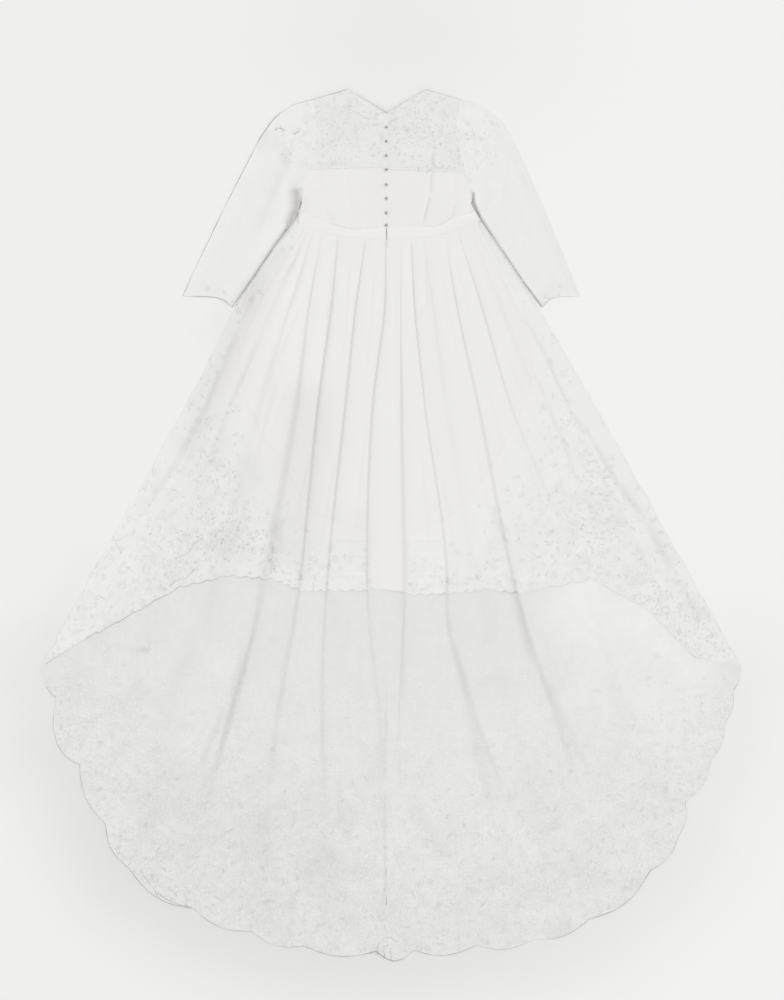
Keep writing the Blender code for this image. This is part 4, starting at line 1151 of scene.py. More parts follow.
# %% The tulle of the train
TUCK, TUCKED_SHARE = 0.085, 0.8  # how far it starts under the hem; share of the pleats there


def train_height(place, station, points, width):
    return fold_height(place, station, width, TUCKED_SHARE) + creases(points, TRAIN_CREASES)


place, share = lines_grid(0, SIDE_RIGHT, 0.0, 1.0, 20, 90)
start = np.where((place > SATIN_LEFT) & (place < SATIN_RIGHT), HEM - TUCK, HEM)
station = start + (BORDER - start) * share
points, width = between_lines(place, station)
points = with_height(points, NET_TOP + train_height(place, station, points, width))
# almost plain below the hem, it fills up towards the border and the sides, most on the left
more_left = np.where(place < MIDDLE, 0.35, 0.12)
worked = 0.06 + 0.30 * smooth((share - 0.25) / 0.7)
worked = worked + more_left * smooth((np.abs(place - MIDDLE) - 4.5) / 2.5)
train_tulle = cloth("tulle_of_train", points, tulle, worked=np.clip(worked, 0, 0.6))
train_points = points
train_edge_worked = worked[-1]
print("train of", len(train_tulle.data.polygons), "faces")

# %% The scalloped border of the train
# corners of the train's edge: x, y; depth of the scallop that starts there; how strongly the
# cord that binds the edge shows there
SCALLOPS = [
    (-920, -1198, 0.08, 0.5), (-886, -1234, 0.1, 0.3), (-890, -1352, 0.12, 0.5),
    (-828, -1410, 0.12, 0.5), (-758, -1572, 0.13, 0.5), (-696, -1690, 0.13, 1.1),
    (-520, -1800, 0.12, 0.9), (-366, -1860, 0.13, 0.2), (-222, -1900, 0.11, 0.7),
    (-28, -1914, 0.28, 1.1), (72, -1912, 0.12, 0.9), (242, -1898, 0.12, 0.4),
    (398, -1882, 0.12, 0.1), (546, -1828, 0.13, 0.7), (712, -1696, 0.13, 0.7),
    (788, -1604, 0.12, 0.2), (806, -1512, 0.13, 0), (876, -1398, 0.12, 0),
    (912, -1304, 0.1, 0.05), (936, -1210, 0.06, 0.25), (952, -1182, 0, 0.25),
]
CORNERS = np.array([row[:2] for row in SCALLOPS], float)
LENGTHS = np.concatenate([[0.0], np.cumsum(length_of(np.diff(CORNERS, axis=0))[:, 0])])


def edge_points(length):
    """Points of the scalloped edge: each scallop is an arc over its chord."""
    first = np.clip(np.searchsorted(LENGTHS, length, side="right") - 1, 0, len(CORNERS) - 2)
    run, wide = CORNERS[first + 1] - CORNERS[first], LENGTHS[first + 1] - LENGTHS[first]
    share = (length - LENGTHS[first]) / wide
    outward = np.stack([run[:, 1], -run[:, 0]], axis=-1) / wide[:, None]
    depth = np.array([row[2] for row in SCALLOPS])[first]
    bulge = outward * (depth * wide * np.sin(np.pi * share))[:, None]
    return CORNERS[first] + run * share[:, None] + bulge


# where each line of the skirt meets that edge
fine = np.linspace(0.0, LENGTHS[-1], 4001)
chords = np.stack([np.interp(fine, LENGTHS, column) for column in CORNERS.T], axis=-1)
MEETS = np.array([fine[np.argmin(length_of(chords - stops[EDGE])[:, 0])] for stops in STOPS])
MEETS[0], MEETS[-1] = 0.0, LENGTHS[-1]
BORDER_COLUMNS, BORDER_DOWN = 400, 56
EDGE_SINKS = 0.85  # how far the edge sinks to the floor


def border_grid():
    length = np.unique(np.concatenate([np.linspace(0.0, LENGTHS[-1], BORDER_COLUMNS), LENGTHS]))
    place = np.interp(length, MEETS, np.arange(len(MEETS)))
    inner, width = between_lines(place, np.full(place.shape, float(BORDER)))
    outer = edge_points(length)
    share = np.linspace(0.0, 1.0, BORDER_DOWN + 1)[:, None]
    points = inner + (outer - inner) * share[..., None]
    place, width = place + share * 0.0, width + share * 0.0
    height = LACE_THICK - EDGE_SINKS * smooth((share - 0.95) / 0.05)
    height = height + fold_height(place, BORDER + share, width)
    points = with_height(points, height + creases(points, TRAIN_CREASES))
    return points, place, share + place * 0.0, length


points, place, share, border_length = border_grid()
inner_worked = np.interp(place, np.linspace(0, SIDE_RIGHT, len(train_edge_worked)), train_edge_worked)
worked = np.clip(inner_worked + (0.95 - inner_worked) * smooth(share * 1.3), 0, 1)
border = cloth("lace_border", points, tulle, worked=worked)
border_points = points
print("border of", len(border.data.polygons), "faces and", len(SCALLOPS) - 1, "scallops")

# %% [markdown]
# ## Neckband and placket
# A narrow band of the same lace binds the V neck, and a strip of it down the centre back, the
# placket, carries the buttons. Both follow the bodice's own rule, so they lie on it.

# %% Bands on the two sides of the neck
neckbands = []
for name, side in (("left", -1), ("right", 1)):
    up = np.linspace(V_POINT, 1.0, 34)[:, None] + np.zeros((1, 9))
    inner, outer = (bodice_points(up * 0 + end, up, side, TRIM_TOP) for end in (0, 1))
    share = np.linspace(0.0, 1.0, 9)[None, :] * NECKBAND / length_of(outer - inner)[..., 0]
    points = bodice_points(share, up, side, LACE_TOP - 0.9)
    piece = cloth(f"neck_lace_{name}", points, yoke_lace, worked=np.full(up.shape, 0.7))
    neckbands.append((piece, points, f"neckband_{name}"))
print("neck bands of", [len(piece.data.polygons) for piece, _, _ in neckbands], "faces")

# %% The placket
PLACKET_HALF, PLACKET_ENDS = 7.0, 346.0
y, x = np.meshgrid(np.linspace(waist_edge(0.0) + BAND_HEIGHT + 1, PLACKET_ENDS, 90),
                   np.linspace(-PLACKET_HALF, PLACKET_HALF, 15), indexing="ij")
centre_y, steps = [row[2] for row in BODICE], np.arange(len(BODICE)) / (len(BODICE) - 1)


def placket_top(y):
    """Height of the bodice along its centre back."""
    up = np.interp(y, centre_y, steps)
    return LACE_TOP + BODICE_CROWN * np.sin(np.pi * up) - 0.7 * smooth((y - 205) / 12)


points = np.stack([x, y, placket_top(y) + 0.4 * (1 - (x / PLACKET_HALF) ** 2)], axis=-1)
worked = 0.7 * smooth((y - 196) / 16)
placket = cloth("button_band", points, yoke_lace, worked=worked, wall=0.5)
placket_points = points
print("placket of", len(placket.data.polygons), "faces")

# %% [markdown]
# ## Covered buttons
# Eight small buttons covered in silk close the back. Their silk is painted dark grey: painted
# shade, which makes each small dome a dark dot. A covered button is a shallow dome that turns
# in sharply below, so its profile is spun about its own axis. On its shank of thread each one
# leans its own way and looks like an oval from above, so each is made narrower across a
# direction of its own.

# %% Eight buttons
# radius and height of the dome, from its top to its underside
BUTTON_PROFILE = [(0.0, 4.2), (1.0, 4.1), (2.0, 3.75), (2.9, 3.1), (3.5, 2.3), (3.8, 1.5),
                  (3.7, 0.7), (3.3, 0.2), (0.0, 0.1)]
# each button: how far it is turned, in degrees, and how narrow it looks across that
LEANS = [(10, 0.72), (75, 0.78), (82, 0.85), (32, 0.66), (12, 0.72), (55, 0.75), (60, 0.84),
         (20, 0.9)]
BUTTON_X, BUTTON_LIFT = -1.2, 0.6


def lathe(profile, count):
    """A closed turned shape."""
    turn = np.linspace(0.0, 2 * np.pi, count, endpoint=False)
    ring = [(0.0, 0.0, profile[0][1])]
    for radius, height in profile[1:-1]:
        ring += [(radius * math.cos(a), radius * math.sin(a), height) for a in turn]
    ring.append((0.0, 0.0, profile[-1][1]))
    faces = [(0, 1 + i, 1 + (i + 1) % count) for i in range(count)]
    for level in range(len(profile) - 3):
        a, b = 1 + level * count, 1 + (level + 1) * count
        faces += [(a + i, b + i, b + (i + 1) % count, a + (i + 1) % count) for i in range(count)]
    last, final = 1 + (len(profile) - 3) * count, len(ring) - 1
    faces += [(last + (i + 1) % count, last + i, final) for i in range(count)]
    return ring, faces


for index, y in enumerate(BUTTON_Y, 1):
    centre = np.array((BUTTON_X, y, placket_top(y) + BUTTON_LIFT))
    ring, faces = lathe(BUTTON_PROFILE, 28)
    turn, narrow = math.radians(LEANS[index - 1][0]), LEANS[index - 1][1]
    axes = np.array(((math.cos(turn), math.sin(turn)), (-math.sin(turn), math.cos(turn))))
    ring = np.array(ring)
    ring[:, :2] = (ring[:, :2] @ axes.T * (1.0, narrow)) @ axes
    mesh = bpy.data.meshes.new(f"covered_button_{index}")
    mesh.from_pydata(to_world(ring + centre).tolist(), [], faces)
    mesh.update()
    mesh.shade_smooth()
    button = add_piece(f"covered_button_{index}", mesh, button_painted_shade)
    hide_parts(f"button_{index}")
print(len(BUTTON_Y), "buttons")

# %% [markdown]
# ## Lace motifs
# The lace is worked with flowers, leaf sprays, scrolls and buds, and with small eyelets
# between them. The eyelets are grey discs: painted shade, the shade that a hole in the lace
# shows. Short outlines of a thicker thread are grey as well, partly as painted shade along
# them. Only a handful of low motifs are drawn, each a few dozen faces, and Geometry Nodes
# scatter them: they are spread by the same "lace" attribute that the net's finish reads, the
# eyelets by where the lace is open, turned and sized at random from a fixed seed, and then
# dropped on the cloth by a ray, so a motif that crosses a fold bends over it.

# %% A few motifs from one bent blade
def blade(length, width, bend=0.0, parts=3, start=(0.0, 0.0), turn=0.0, blunt=0.0):
    """A petal or leaf: left edge, raised middle, right edge, along a bent spine."""
    t = np.linspace(0.0, 1.0, parts + 1)
    angle = turn + bend * t
    step = length / parts
    spine = np.array(start) + np.concatenate([[(0, 0)], np.cumsum(
        np.stack([np.cos(angle[:-1]), np.sin(angle[:-1])], axis=-1) * step, axis=0)])
    half = width / 2 * np.sin(np.pi * np.clip(t * (1 - blunt) + 0.06, 0, 1)) ** 0.8
    across = np.stack([-np.sin(angle), np.cos(angle)], axis=-1)
    points = np.stack([spine + across * half[:, None], spine, spine - across * half[:, None]], axis=1)
    relief = np.tile((0.0, 0.45, 0.0), (parts + 1, 1)) * np.sin(np.pi * (0.15 + 0.7 * t))[:, None]
    grid = np.arange((parts + 1) * 3).reshape(parts + 1, 3)
    faces = [(grid[r, c + 1], grid[r, c], grid[r + 1, c], grid[r + 1, c + 1])
             for r in range(parts) for c in range(2)]
    return points.reshape(-1, 2), relief.ravel(), faces


def disc(radius, centre=(0.0, 0.0), sides=6, rise=0.6):
    """A small round, raised in its middle."""
    a = np.linspace(0, 2 * np.pi, sides, endpoint=False)
    rim = np.array(centre) + radius * np.stack([np.cos(a), np.sin(a)], axis=-1)
    faces = [(0, 1 + i, 1 + (i + 1) % sides) for i in range(sides)]
    return np.concatenate([[centre], rim]), np.array([rise] + [0.1] * sides), faces


def around(count, radius, make):
    """The same shape made several times round a centre."""
    turns = [2 * math.pi * i / count for i in range(count)]
    return [make((radius * math.cos(a), radius * math.sin(a)), a) for a in turns]


motif_shapes = {
    "a_flower": around(5, 1.4, lambda at, a: blade(8.6, 6.4, 0.0, 3, at, a, 0.22)) + [disc(2.0)],
    "b_spray": [blade(30, 1.1, 0.9, 6)] + [
        blade(8.0 - 0.4 * i, 3.6, 0.5 * s, 3, (3.4 * i + 3, 0.6 * i * i * 0.35), 0.25 * i + 0.8 * s, 0.1)
        for i, s in ((1, 1), (2, -1), (3, 1), (4, -1), (5, 1), (6, -1))],
    "c_scroll": [blade(34, 1.8, 5.2, 12), blade(10, 3.6, 0.8, 3, (0, 0), 2.6, 0.1), disc(1.6, (12, -3))],
    "d_bud": [blade(9, 4.2, 0.4, 3, (0, 0), 0.35, 0.15), blade(9, 4.2, -0.4, 3, (0, 0), -0.35, 0.15),
              blade(12, 3.0, 0.0, 3), blade(9, 1.0, -0.8, 3, (0, 0), 3.1)],
    "e_small_flower": around(5, 0.7, lambda at, a: blade(4.6, 3.6, 0.0, 2, at, a, 0.2)) + [disc(1.0)],
    "f_leaf": [blade(15, 5.4, 0.7, 4, (0, 0), 0.0, 0.05), disc(1.3, (-4, 1)), disc(1.1, (-6, -2))],
}


def motif_object(name, parts, home):
    """One object from several blades and discs, kept in a collection outside the scene."""
    points, relief, faces = [], [], []
    for part_points, part_relief, part_faces in parts:
        faces += [tuple(int(i) + len(points) for i in face) for face in part_faces]
        points += [(x * MM, y * MM, 0.0) for x, y in part_points]
        relief += list(part_relief)
    mesh = bpy.data.meshes.new(name)
    mesh.from_pydata(points, [], faces)
    mesh.attributes.new("relief", 'FLOAT', 'POINT').data.foreach_set(
        "value", np.array(relief, dtype=np.float32) * MM)
    mesh.update()
    motif = bpy.data.objects.new(name, mesh)
    home.objects.link(motif)
    return len(faces)


def motif_set(name, shapes):
    home = bpy.data.collections.new(name)
    print(name, {kind: motif_object(kind, parts, home) for kind, parts in shapes.items()})
    return home


motifs = motif_set("lace_motifs", motif_shapes)
eyelets = motif_set("lace_eyelets", {
    "a_round": [disc(1.1, rise=0.05)], "b_slit": [blade(4.6, 1.3, 0.3, 2)],
    "c_crescent": [blade(7.0, 1.2, 1.9, 3)],
    "d_pair": [disc(0.8, (-1.2, 0.0), rise=0.05), blade(3.4, 1.1, -0.8, 2)],
})
outlines = motif_set("lace_outlines", {
    "a_long": [blade(24, 2.8, 0.9, 6)], "b_hook": [blade(14, 3.0, 1.9, 6)],
    "c_bent": [blade(13, 3.4, -0.8, 4)],
    "d_twin": [blade(15, 2.6, 0.8, 5), blade(12, 2.2, 1.0, 4, (1.0, 4.6))],
})


# %% The tree that scatters motifs over a cloth
def scatter_tree():
    """Spread by the "lace" attribute, turned and sized at random, dropped on the cloth."""
    tree, into, out = new_group(
        "scattered_motifs", "GeometryNodeTree",
        [("Cloth", 'NodeSocketGeometry', None), ("Motifs", 'NodeSocketCollection', None),
         ("Kinds", 'NodeSocketInt', 6), ("Apart", FLOAT, 0.012), ("Most", FLOAT, 3000.0),
         ("Smallest", FLOAT, 0.7), ("Largest", FLOAT, 1.3), ("Least lace", FLOAT, 0.1),
         ("Follows", 'NodeSocketString', "lace"),
         ("Lift", FLOAT, 0.0004), ("Seed", 'NodeSocketInt', 7),
         ("Finish", 'NodeSocketMaterial', None)],
        [("Geometry", 'NodeSocketGeometry', None)],
    )
    given = into.outputs
    lace_here = add_node(tree, "GeometryNodeInputNamedAttribute", {
        "Name": given["Follows"]}).outputs["Attribute"]
    dense = add_node(tree, "ShaderNodeMapRange", {
        "Value": lace_here, "From Min": given["Least lace"], "From Max": 1.0}).outputs["Result"]
    spread = add_node(tree, "GeometryNodeDistributePointsOnFaces", {
        "Mesh": given["Cloth"], "Distance Min": given["Apart"], "Density Max": given["Most"],
        "Density Factor": dense, "Seed": given["Seed"]}, distribute_method='POISSON')
    # a random value has its least and most for vectors, numbers and whole numbers, in pairs
    chosen = add_node(tree, "FunctionNodeRandomValue", {
        "Seed": given["Seed"], 4: 0, 5: maths(tree, 'SUBTRACT', given["Kinds"], 1.0),
    }, data_type='INT')
    turn = add_node(tree, "FunctionNodeRandomValue", {
        "Seed": given["Seed"], 0: (0, 0, 0), 1: (0, 0, 6.283)}, data_type='FLOAT_VECTOR')
    size = add_node(tree, "FunctionNodeRandomValue", {
        "Seed": given["Seed"], 2: given["Smallest"], 3: given["Largest"]}, data_type='FLOAT')
    group = add_node(tree, "GeometryNodeCollectionInfo", {
        "Collection": given["Motifs"], "Separate Children": True, "Reset Children": True})
    placed = add_node(tree, "GeometryNodeInstanceOnPoints", {
        "Points": spread.outputs["Points"], "Instance": group.outputs[0], "Pick Instance": True,
        "Instance Index": chosen.outputs[2], "Rotation": turn.outputs[0], "Scale": size.outputs[1]})
    real = add_node(tree, "GeometryNodeRealizeInstances", {0: placed.outputs[0]})
    here = add_node(tree, "GeometryNodeInputPosition").outputs[0]
    above = add_node(tree, "ShaderNodeVectorMath", {0: here, 1: (0.0, 0.0, 0.2)}).outputs[0]
    ray = add_node(tree, "GeometryNodeRaycast", {
        "Target Geometry": given["Cloth"], "Source Position": above,
        "Ray Direction": (0.0, 0.0, -1.0), "Ray Length": 0.5})
    relief = add_node(tree, "GeometryNodeInputNamedAttribute", {"Name": "relief"}).outputs["Attribute"]
    rise = maths(tree, 'ADD', relief, given["Lift"])
    pushed = add_node(tree, "ShaderNodeVectorMath", {
        0: ray.outputs["Hit Normal"], 3: rise}, operation='SCALE').outputs[0]
    laid = add_node(tree, "ShaderNodeVectorMath", {0: ray.outputs["Hit Position"], 1: pushed}).outputs[0]
    missed = add_node(tree, "FunctionNodeBooleanMath", {0: ray.outputs["Is Hit"]}, operation='NOT')
    kept = add_node(tree, "GeometryNodeDeleteGeometry", {
        "Geometry": real.outputs[0], "Selection": missed.outputs[0]})
    moved = add_node(tree, "GeometryNodeSetPosition", {
        "Geometry": kept.outputs[0], "Position": laid})
    coloured = add_node(tree, "GeometryNodeSetMaterial", {
        "Geometry": moved.outputs[0], "Material": given["Finish"]})
    tree.links.new(coloured.outputs[0], out.inputs[0])
    return tree


worked_on = {}  # the trimmings of each cloth


def grow(name, cloth_name, source_mesh, tree, values):
    """Run a tree on a copy of a mesh, and keep its result as a trimming of a cloth."""
    holder = new_object(name + "_holder", source_mesh.copy())
    modifier = holder.modifiers.new("grow", 'NODES')
    modifier.node_group = tree
    for socket in tree.interface.items_tree:
        if socket.in_out == 'INPUT' and socket.name in values:
            modifier[socket.identifier] = values[socket.name]
    seen = bpy.context.evaluated_depsgraph_get()
    mesh = bpy.data.meshes.new_from_object(holder.evaluated_get(seen))
    mesh.name = name
    bpy.data.objects.remove(holder, do_unlink=True)
    mesh.shade_smooth()
    piece = add_piece(name, mesh, values["Finish"])
    worked_on.setdefault(cloth_name, []).append(piece)
    print(f"{name}: {sum(len(p.vertices) - 2 for p in mesh.polygons)} triangles")


SCATTER = scatter_tree()
print(SCATTER.name, "has", len(SCATTER.nodes), "nodes")

# %% Motifs and eyelets on each lace cloth
# piece; distance apart in metres; most in a square metre; smallest; largest; least lace
MOTIF_ROWS = [
    ("lace_border", 0.0125, 6400, 0.5, 1.1, 0.12), ("tulle_of_train", 0.03, 900, 0.7, 1.3, 0.1),
    ("side_lace_left", 0.014, 4600, 0.5, 1.1, 0.05), ("side_lace_right", 0.014, 4600, 0.5, 1.1, 0.05),
    ("hem_border_left", 0.0125, 6400, 0.5, 1.1, 0.05), ("hem_border_right", 0.0125, 6400, 0.5, 1.1, 0.05),
    ("bodice_lace_left", 0.0115, 9000, 0.4, 0.7, 0.2), ("bodice_lace_right", 0.0115, 9000, 0.4, 0.7, 0.2),
    ("sleeve_tube_left", 0.018, 3500, 0.5, 0.95, 0.3), ("sleeve_tube_right", 0.016, 3500, 0.5, 0.95, 0.4),
    ("neck_lace_left", 0.009, 12000, 0.3, 0.5, 0.1), ("neck_lace_right", 0.009, 12000, 0.3, 0.5, 0.1),
]
# the same for the eyelets, grey discs of painted shade in the lace's holes, which gather where there is
# openwork
EYELET_ROWS = [
    ("lace_border", 0.009, 4500, 0.6, 1.5, 0.05), ("tulle_of_train", 0.02, 500, 0.7, 1.3, 0.1),
    ("side_lace_left", 0.007, 9000, 0.6, 1.6, 0.05), ("side_lace_right", 0.007, 9000, 0.6, 1.6, 0.05),
    ("hem_border_left", 0.0065, 10000, 0.7, 1.9, 0.05), ("hem_border_right", 0.0065, 8000, 0.7, 1.7, 0.05),
    ("bodice_lace_left", 0.005, 16000, 0.5, 1.1, 0.1), ("bodice_lace_right", 0.005, 18000, 0.5, 1.3, 0.1),
    ("sleeve_tube_left", 0.007, 9000, 0.5, 1.2, 0.05), ("sleeve_tube_right", 0.007, 9000, 0.5, 1.3, 0.05),
]
# the same for the outlines, short stretches of a thicker thread, grey partly as painted shade along it
OUTLINE_ROWS = [
    ("lace_border", 0.036, 500, 0.5, 1.5, 0.3), ("hem_border_left", 0.034, 520, 0.5, 1.0, 0.3),
    ("hem_border_right", 0.028, 900, 0.5, 1.0, 0.3), ("bodice_lace_left", 0.016, 1800, 0.3, 0.7, 0.3),
    ("bodice_lace_right", 0.014, 2200, 0.3, 0.8, 0.3), ("side_lace_left", 0.03, 700, 0.5, 1.0, 0.4),
    ("side_lace_right", 0.03, 600, 0.5, 1.0, 0.4),
]


def trim(kind, seed, row, shapes, follows, lift, finish):
    """Scatter one set of shapes over one cloth."""
    name, apart, most, smallest, largest, least = row
    grow(f"{kind}_{name}", name, made_pieces[name].data, SCATTER, {
        "Motifs": shapes, "Kinds": len(shapes.objects), "Apart": apart, "Most": float(most),
        "Smallest": smallest, "Largest": largest, "Least lace": least, "Follows": follows,
        "Lift": lift, "Seed": seed, "Finish": finish})


for seed, row in enumerate(MOTIF_ROWS, 11):
    trim("motifs", seed, row, motifs, "lace", 0.0004, thread)
for seed, row in enumerate(EYELET_ROWS, 51):
    trim("eyelets", seed, row, eyelets, "open", 0.001, painted_eyelet_shade)
for seed, row in enumerate(OUTLINE_ROWS, 71):
    trim("outlines", seed, row, outlines, "lace", 0.0007, outline_shade_finish)
trim("scribbles", 81, ("lace_border", 0.010, 5000, 0.35, 0.9, 0.2), outlines, "open", 0.0008,
     outline_shade_finish)
print(sum(len(trims) for trims in worked_on.values()), "sets of trimmings")

# %% [markdown]
# ## Edge cords
# The scalloped edges are bound with a thin cord. Its grey is partly the cord and partly painted
# shadow, the thin dark line along an edge, and that is what makes the train's outline a fine
# grey line on the floor. The sleeves have no cord: their grey lines along the edges and under
# the left cuff are painted shadow only. The cord shows in some stretches and is lost in others,
# so each point of its path carries a weight, and the tree multiplies its radius by it and leaves
# out the stretches that have none. Small loops, called picots, stand off it.

# %% The tree for a cord with picots
LOST = 0.08  # below this weight a cord isn't made


def cord_tree():
    """A tube along a path, with small loops on it, as thick as the path's weight says."""
    tree, into, out = new_group(
        "bound_edge", "GeometryNodeTree",
        [("Path", 'NodeSocketGeometry', None), ("Radius", FLOAT, 0.0009),
         ("Loop every", FLOAT, 0.006), ("Loop radius", FLOAT, 0.0016), ("Seed", FLOAT, 1.0),
         ("Finish", 'NodeSocketMaterial', None)],
        [("Geometry", 'NodeSocketGeometry', None)],
    )
    given = into.outputs
    weight = add_node(tree, "GeometryNodeInputNamedAttribute", {"Name": "weight"}).outputs["Attribute"]
    shown = add_node(tree, "GeometryNodeDeleteGeometry", {
        "Geometry": given["Path"], "Selection": maths(tree, 'LESS_THAN', weight, LOST)}).outputs[0]
    path = add_node(tree, "GeometryNodeMeshToCurve", {"Mesh": shown}).outputs[0]
    here = add_node(tree, "GeometryNodeInputPosition").outputs[0]
    noise = add_node(tree, "ShaderNodeTexNoise", {
        "Vector": here, "W": given["Seed"], "Scale": 14.0, "Detail": 2.0},
        noise_dimensions='4D').outputs["Fac"]
    swing = add_node(tree, "ShaderNodeMapRange", {
        "Value": noise, "From Min": 0.38, "From Max": 0.62, "To Min": 0.15, "To Max": 1.0}).outputs[0]
    size = maths(tree, 'MULTIPLY', swing, weight)
    tube = add_node(tree, "GeometryNodeCurveToMesh", {
        "Curve": path, "Fill Caps": True, "Scale": size, "Profile Curve": add_node(
            tree, "GeometryNodeCurvePrimitiveCircle", {
                "Resolution": 5, "Radius": given["Radius"]}).outputs[0]})
    beads = add_node(tree, "GeometryNodeResampleCurve", {"Curve": path}, mode='LENGTH')
    tree.links.new(given["Loop every"], beads.inputs["Length"])
    ball = add_node(tree, "GeometryNodeMeshIcoSphere", {
        "Radius": given["Loop radius"], "Subdivisions": 1}).outputs[0]
    placed = add_node(tree, "GeometryNodeInstanceOnPoints", {
        "Points": beads.outputs[0], "Instance": ball, "Scale": size})
    real = add_node(tree, "GeometryNodeRealizeInstances", {0: placed.outputs[0]}).outputs[0]
    both = add_node(tree, "GeometryNodeJoinGeometry")
    tree.links.new(real, both.inputs[0])
    tree.links.new(tube.outputs[0], both.inputs[0])
    coloured = add_node(tree, "GeometryNodeSetMaterial", {
        "Geometry": both.outputs[0], "Material": given["Finish"]})
    tree.links.new(coloured.outputs[0], out.inputs[0])
    return tree


def path_mesh(runs):
    """One mesh of edges from rows of points; each row comes with its weights."""
    points, weights, edges = [], [], []
    for run, weight in runs:
        edges += [(len(points) + i, len(points) + i + 1) for i in range(len(run) - 1)]
        points += to_world(np.asarray(run)).tolist()
        weights += np.broadcast_to(weight, len(run)).tolist()
    mesh = bpy.data.meshes.new("path")
    mesh.from_pydata(points, edges, [])
    note(mesh, "weight", np.array(weights))
    return mesh


CORD = cord_tree()
LIFT = np.array((0.0, 0.0, 0.3))  # a cord lies this much above its cloth


def make_cord(name, runs, radius, every, loop, cloth_name, seed):
    grow(name, cloth_name, path_mesh(runs), CORD, {
        "Radius": radius * MM, "Loop every": every, "Loop radius": loop, "Seed": float(seed),
        "Finish": grey_cord_and_shadow})


print(CORD.name, "has", len(CORD.nodes), "nodes")

# %% Cords on the train, the hem, the neck and the shoulders, and painted shadow lines on the sleeves
hem_left = hem_laces[0][1][-1]
hem_weight = np.interp(
    hem_left[:, 0], [-790, -600, -480, -380, -300], [0.5, 0.45, 0.2, 0.15, 0])
border_edge = border_points[-1]
border_weight = np.interp(border_length, LENGTHS, [row[3] for row in SCALLOPS])
sleeve_edges = {
    "left": sleeves[0][1][:, :SLEEVE_ACROSS],
    "right": sleeves[1][1][:, ::-1][:, :SLEEVE_ACROSS],
}
full = np.linspace(0.0, 1.0, SLEEVE_ROWS)
cuff_share = np.linspace(0.0, 1.0, SLEEVE_ACROSS)
SHADOW_OUT = np.array((0.9, -0.3, 0.4))  # how far the left sleeve's painted shadow line stands off its outer edge
# name; its runs of points with a weight at each point; radius in millimetres; loop spacing;
# loop radius; the cloth that it binds
CORD_ROWS = [
    ("cord_train", [(border_edge + LIFT, border_weight)], 1.0, 0.008, 0.0011, "lace_border"),
    ("cord_hem_left", [(hem_left + LIFT, hem_weight)], 1.0, 0.008, 0.001, "hem_border_left"),
    ("cord_side_left", [(overlays[0][1][-1, :34] + LIFT, 0.35)], 1.0, 0.008, 0.001, "side_lace_left"),
    ("cord_neck_left", [(neckbands[0][1][:, 0] + LIFT, 0.8)], 0.7, 0.01, 0.0007, "neck_lace_left"),
    ("cord_neck_right", [(neckbands[1][1][:, 0] + LIFT, 0.8)], 0.7, 0.01, 0.0007, "neck_lace_right"),
    ("cord_shoulder_left", [(bodice_lace[0][1][-1] + LIFT, 0.9)], 0.8, 0.012, 0.0006, "bodice_lace_left"),
    ("cord_shoulder_right", [(bodice_lace[1][1][-1] + LIFT, 0.8)], 0.7, 0.012, 0.0006, "bodice_lace_right"),
    # the sleeves have no cord: these grey lines are painted shadow along the outer and inner edges and under
    # the cuff
    ("cord_sleeve_left", [
        (sleeve_edges["left"][:, 0] - SHADOW_OUT, np.interp(full, [0, 0.1, 0.35, 1], [1.1, 1.9, 1.4, 0.7])),
        (sleeve_edges["left"][30:, -1], np.interp(full[30:], [0.2, 0.35, 0.95, 1.0], [0.3, 1.3, 1.3, 2.0])),
        (sleeve_edges["left"][-1], np.interp(
            cuff_share, [0, 0.3, 0.4, 0.78, 0.8, 0.93, 0.95, 1], [0.1, 0.15, 0.8, 0.9, 0, 0, 0.6, 1.8]))],
     0.9, 0.012, 0.0006, "sleeve_tube_left"),
    ("cord_sleeve_right", [
        (sleeve_edges["right"][:19, 0], np.linspace(0.7, 0.0, 19)),
        (sleeve_edges["right"][22:, -1], np.interp(full[22:], [0.15, 0.3, 0.98, 1.0], [0.3, 1.3, 1.2, 1.0]))],
     0.9, 0.012, 0.0006, "sleeve_tube_right"),
]
for seed, row in enumerate(CORD_ROWS, 1):
    make_cord(*row, seed)
print(len(CORD_ROWS), "edge cords")

# %% [markdown]
# ## Corded lines within the lace
# Here and there the lace's own cord shows as a short dark line: round the openwork on the left
# of the hem, on the heads of the sleeves, and at the middle of the train's edge. Each is a few
# corners on the cloth, smoothed, laid on its surface and given to the same tree, so it takes the
# edge cords' grey, partly the cord and partly painted shade beside it.

# %% Short cords laid on the cloth
def on_surface(points, path):
    """Lay x, y of a path on a grid of points, at the height of the nearest one."""
    flat, path = points.reshape(-1, 3), np.asarray(path, float)
    nearest = ((path[:, None, :] - flat[None, :, :2]) ** 2).sum(axis=-1).argmin(axis=1)
    return np.concatenate([path, flat[nearest, 2:] + 0.6], axis=1)


def bent(corners, count=12):
    """A smooth run through a few corners."""
    corners = np.asarray(corners, float)
    t = np.linspace(0.0, len(corners) - 1, count)
    run = np.stack([np.interp(t, np.arange(len(corners)), column) for column in corners.T], axis=-1)
    for _ in range(2):
        run[1:-1] = (run[:-2] + 2 * run[1:-1] + run[2:]) / 4
    return run


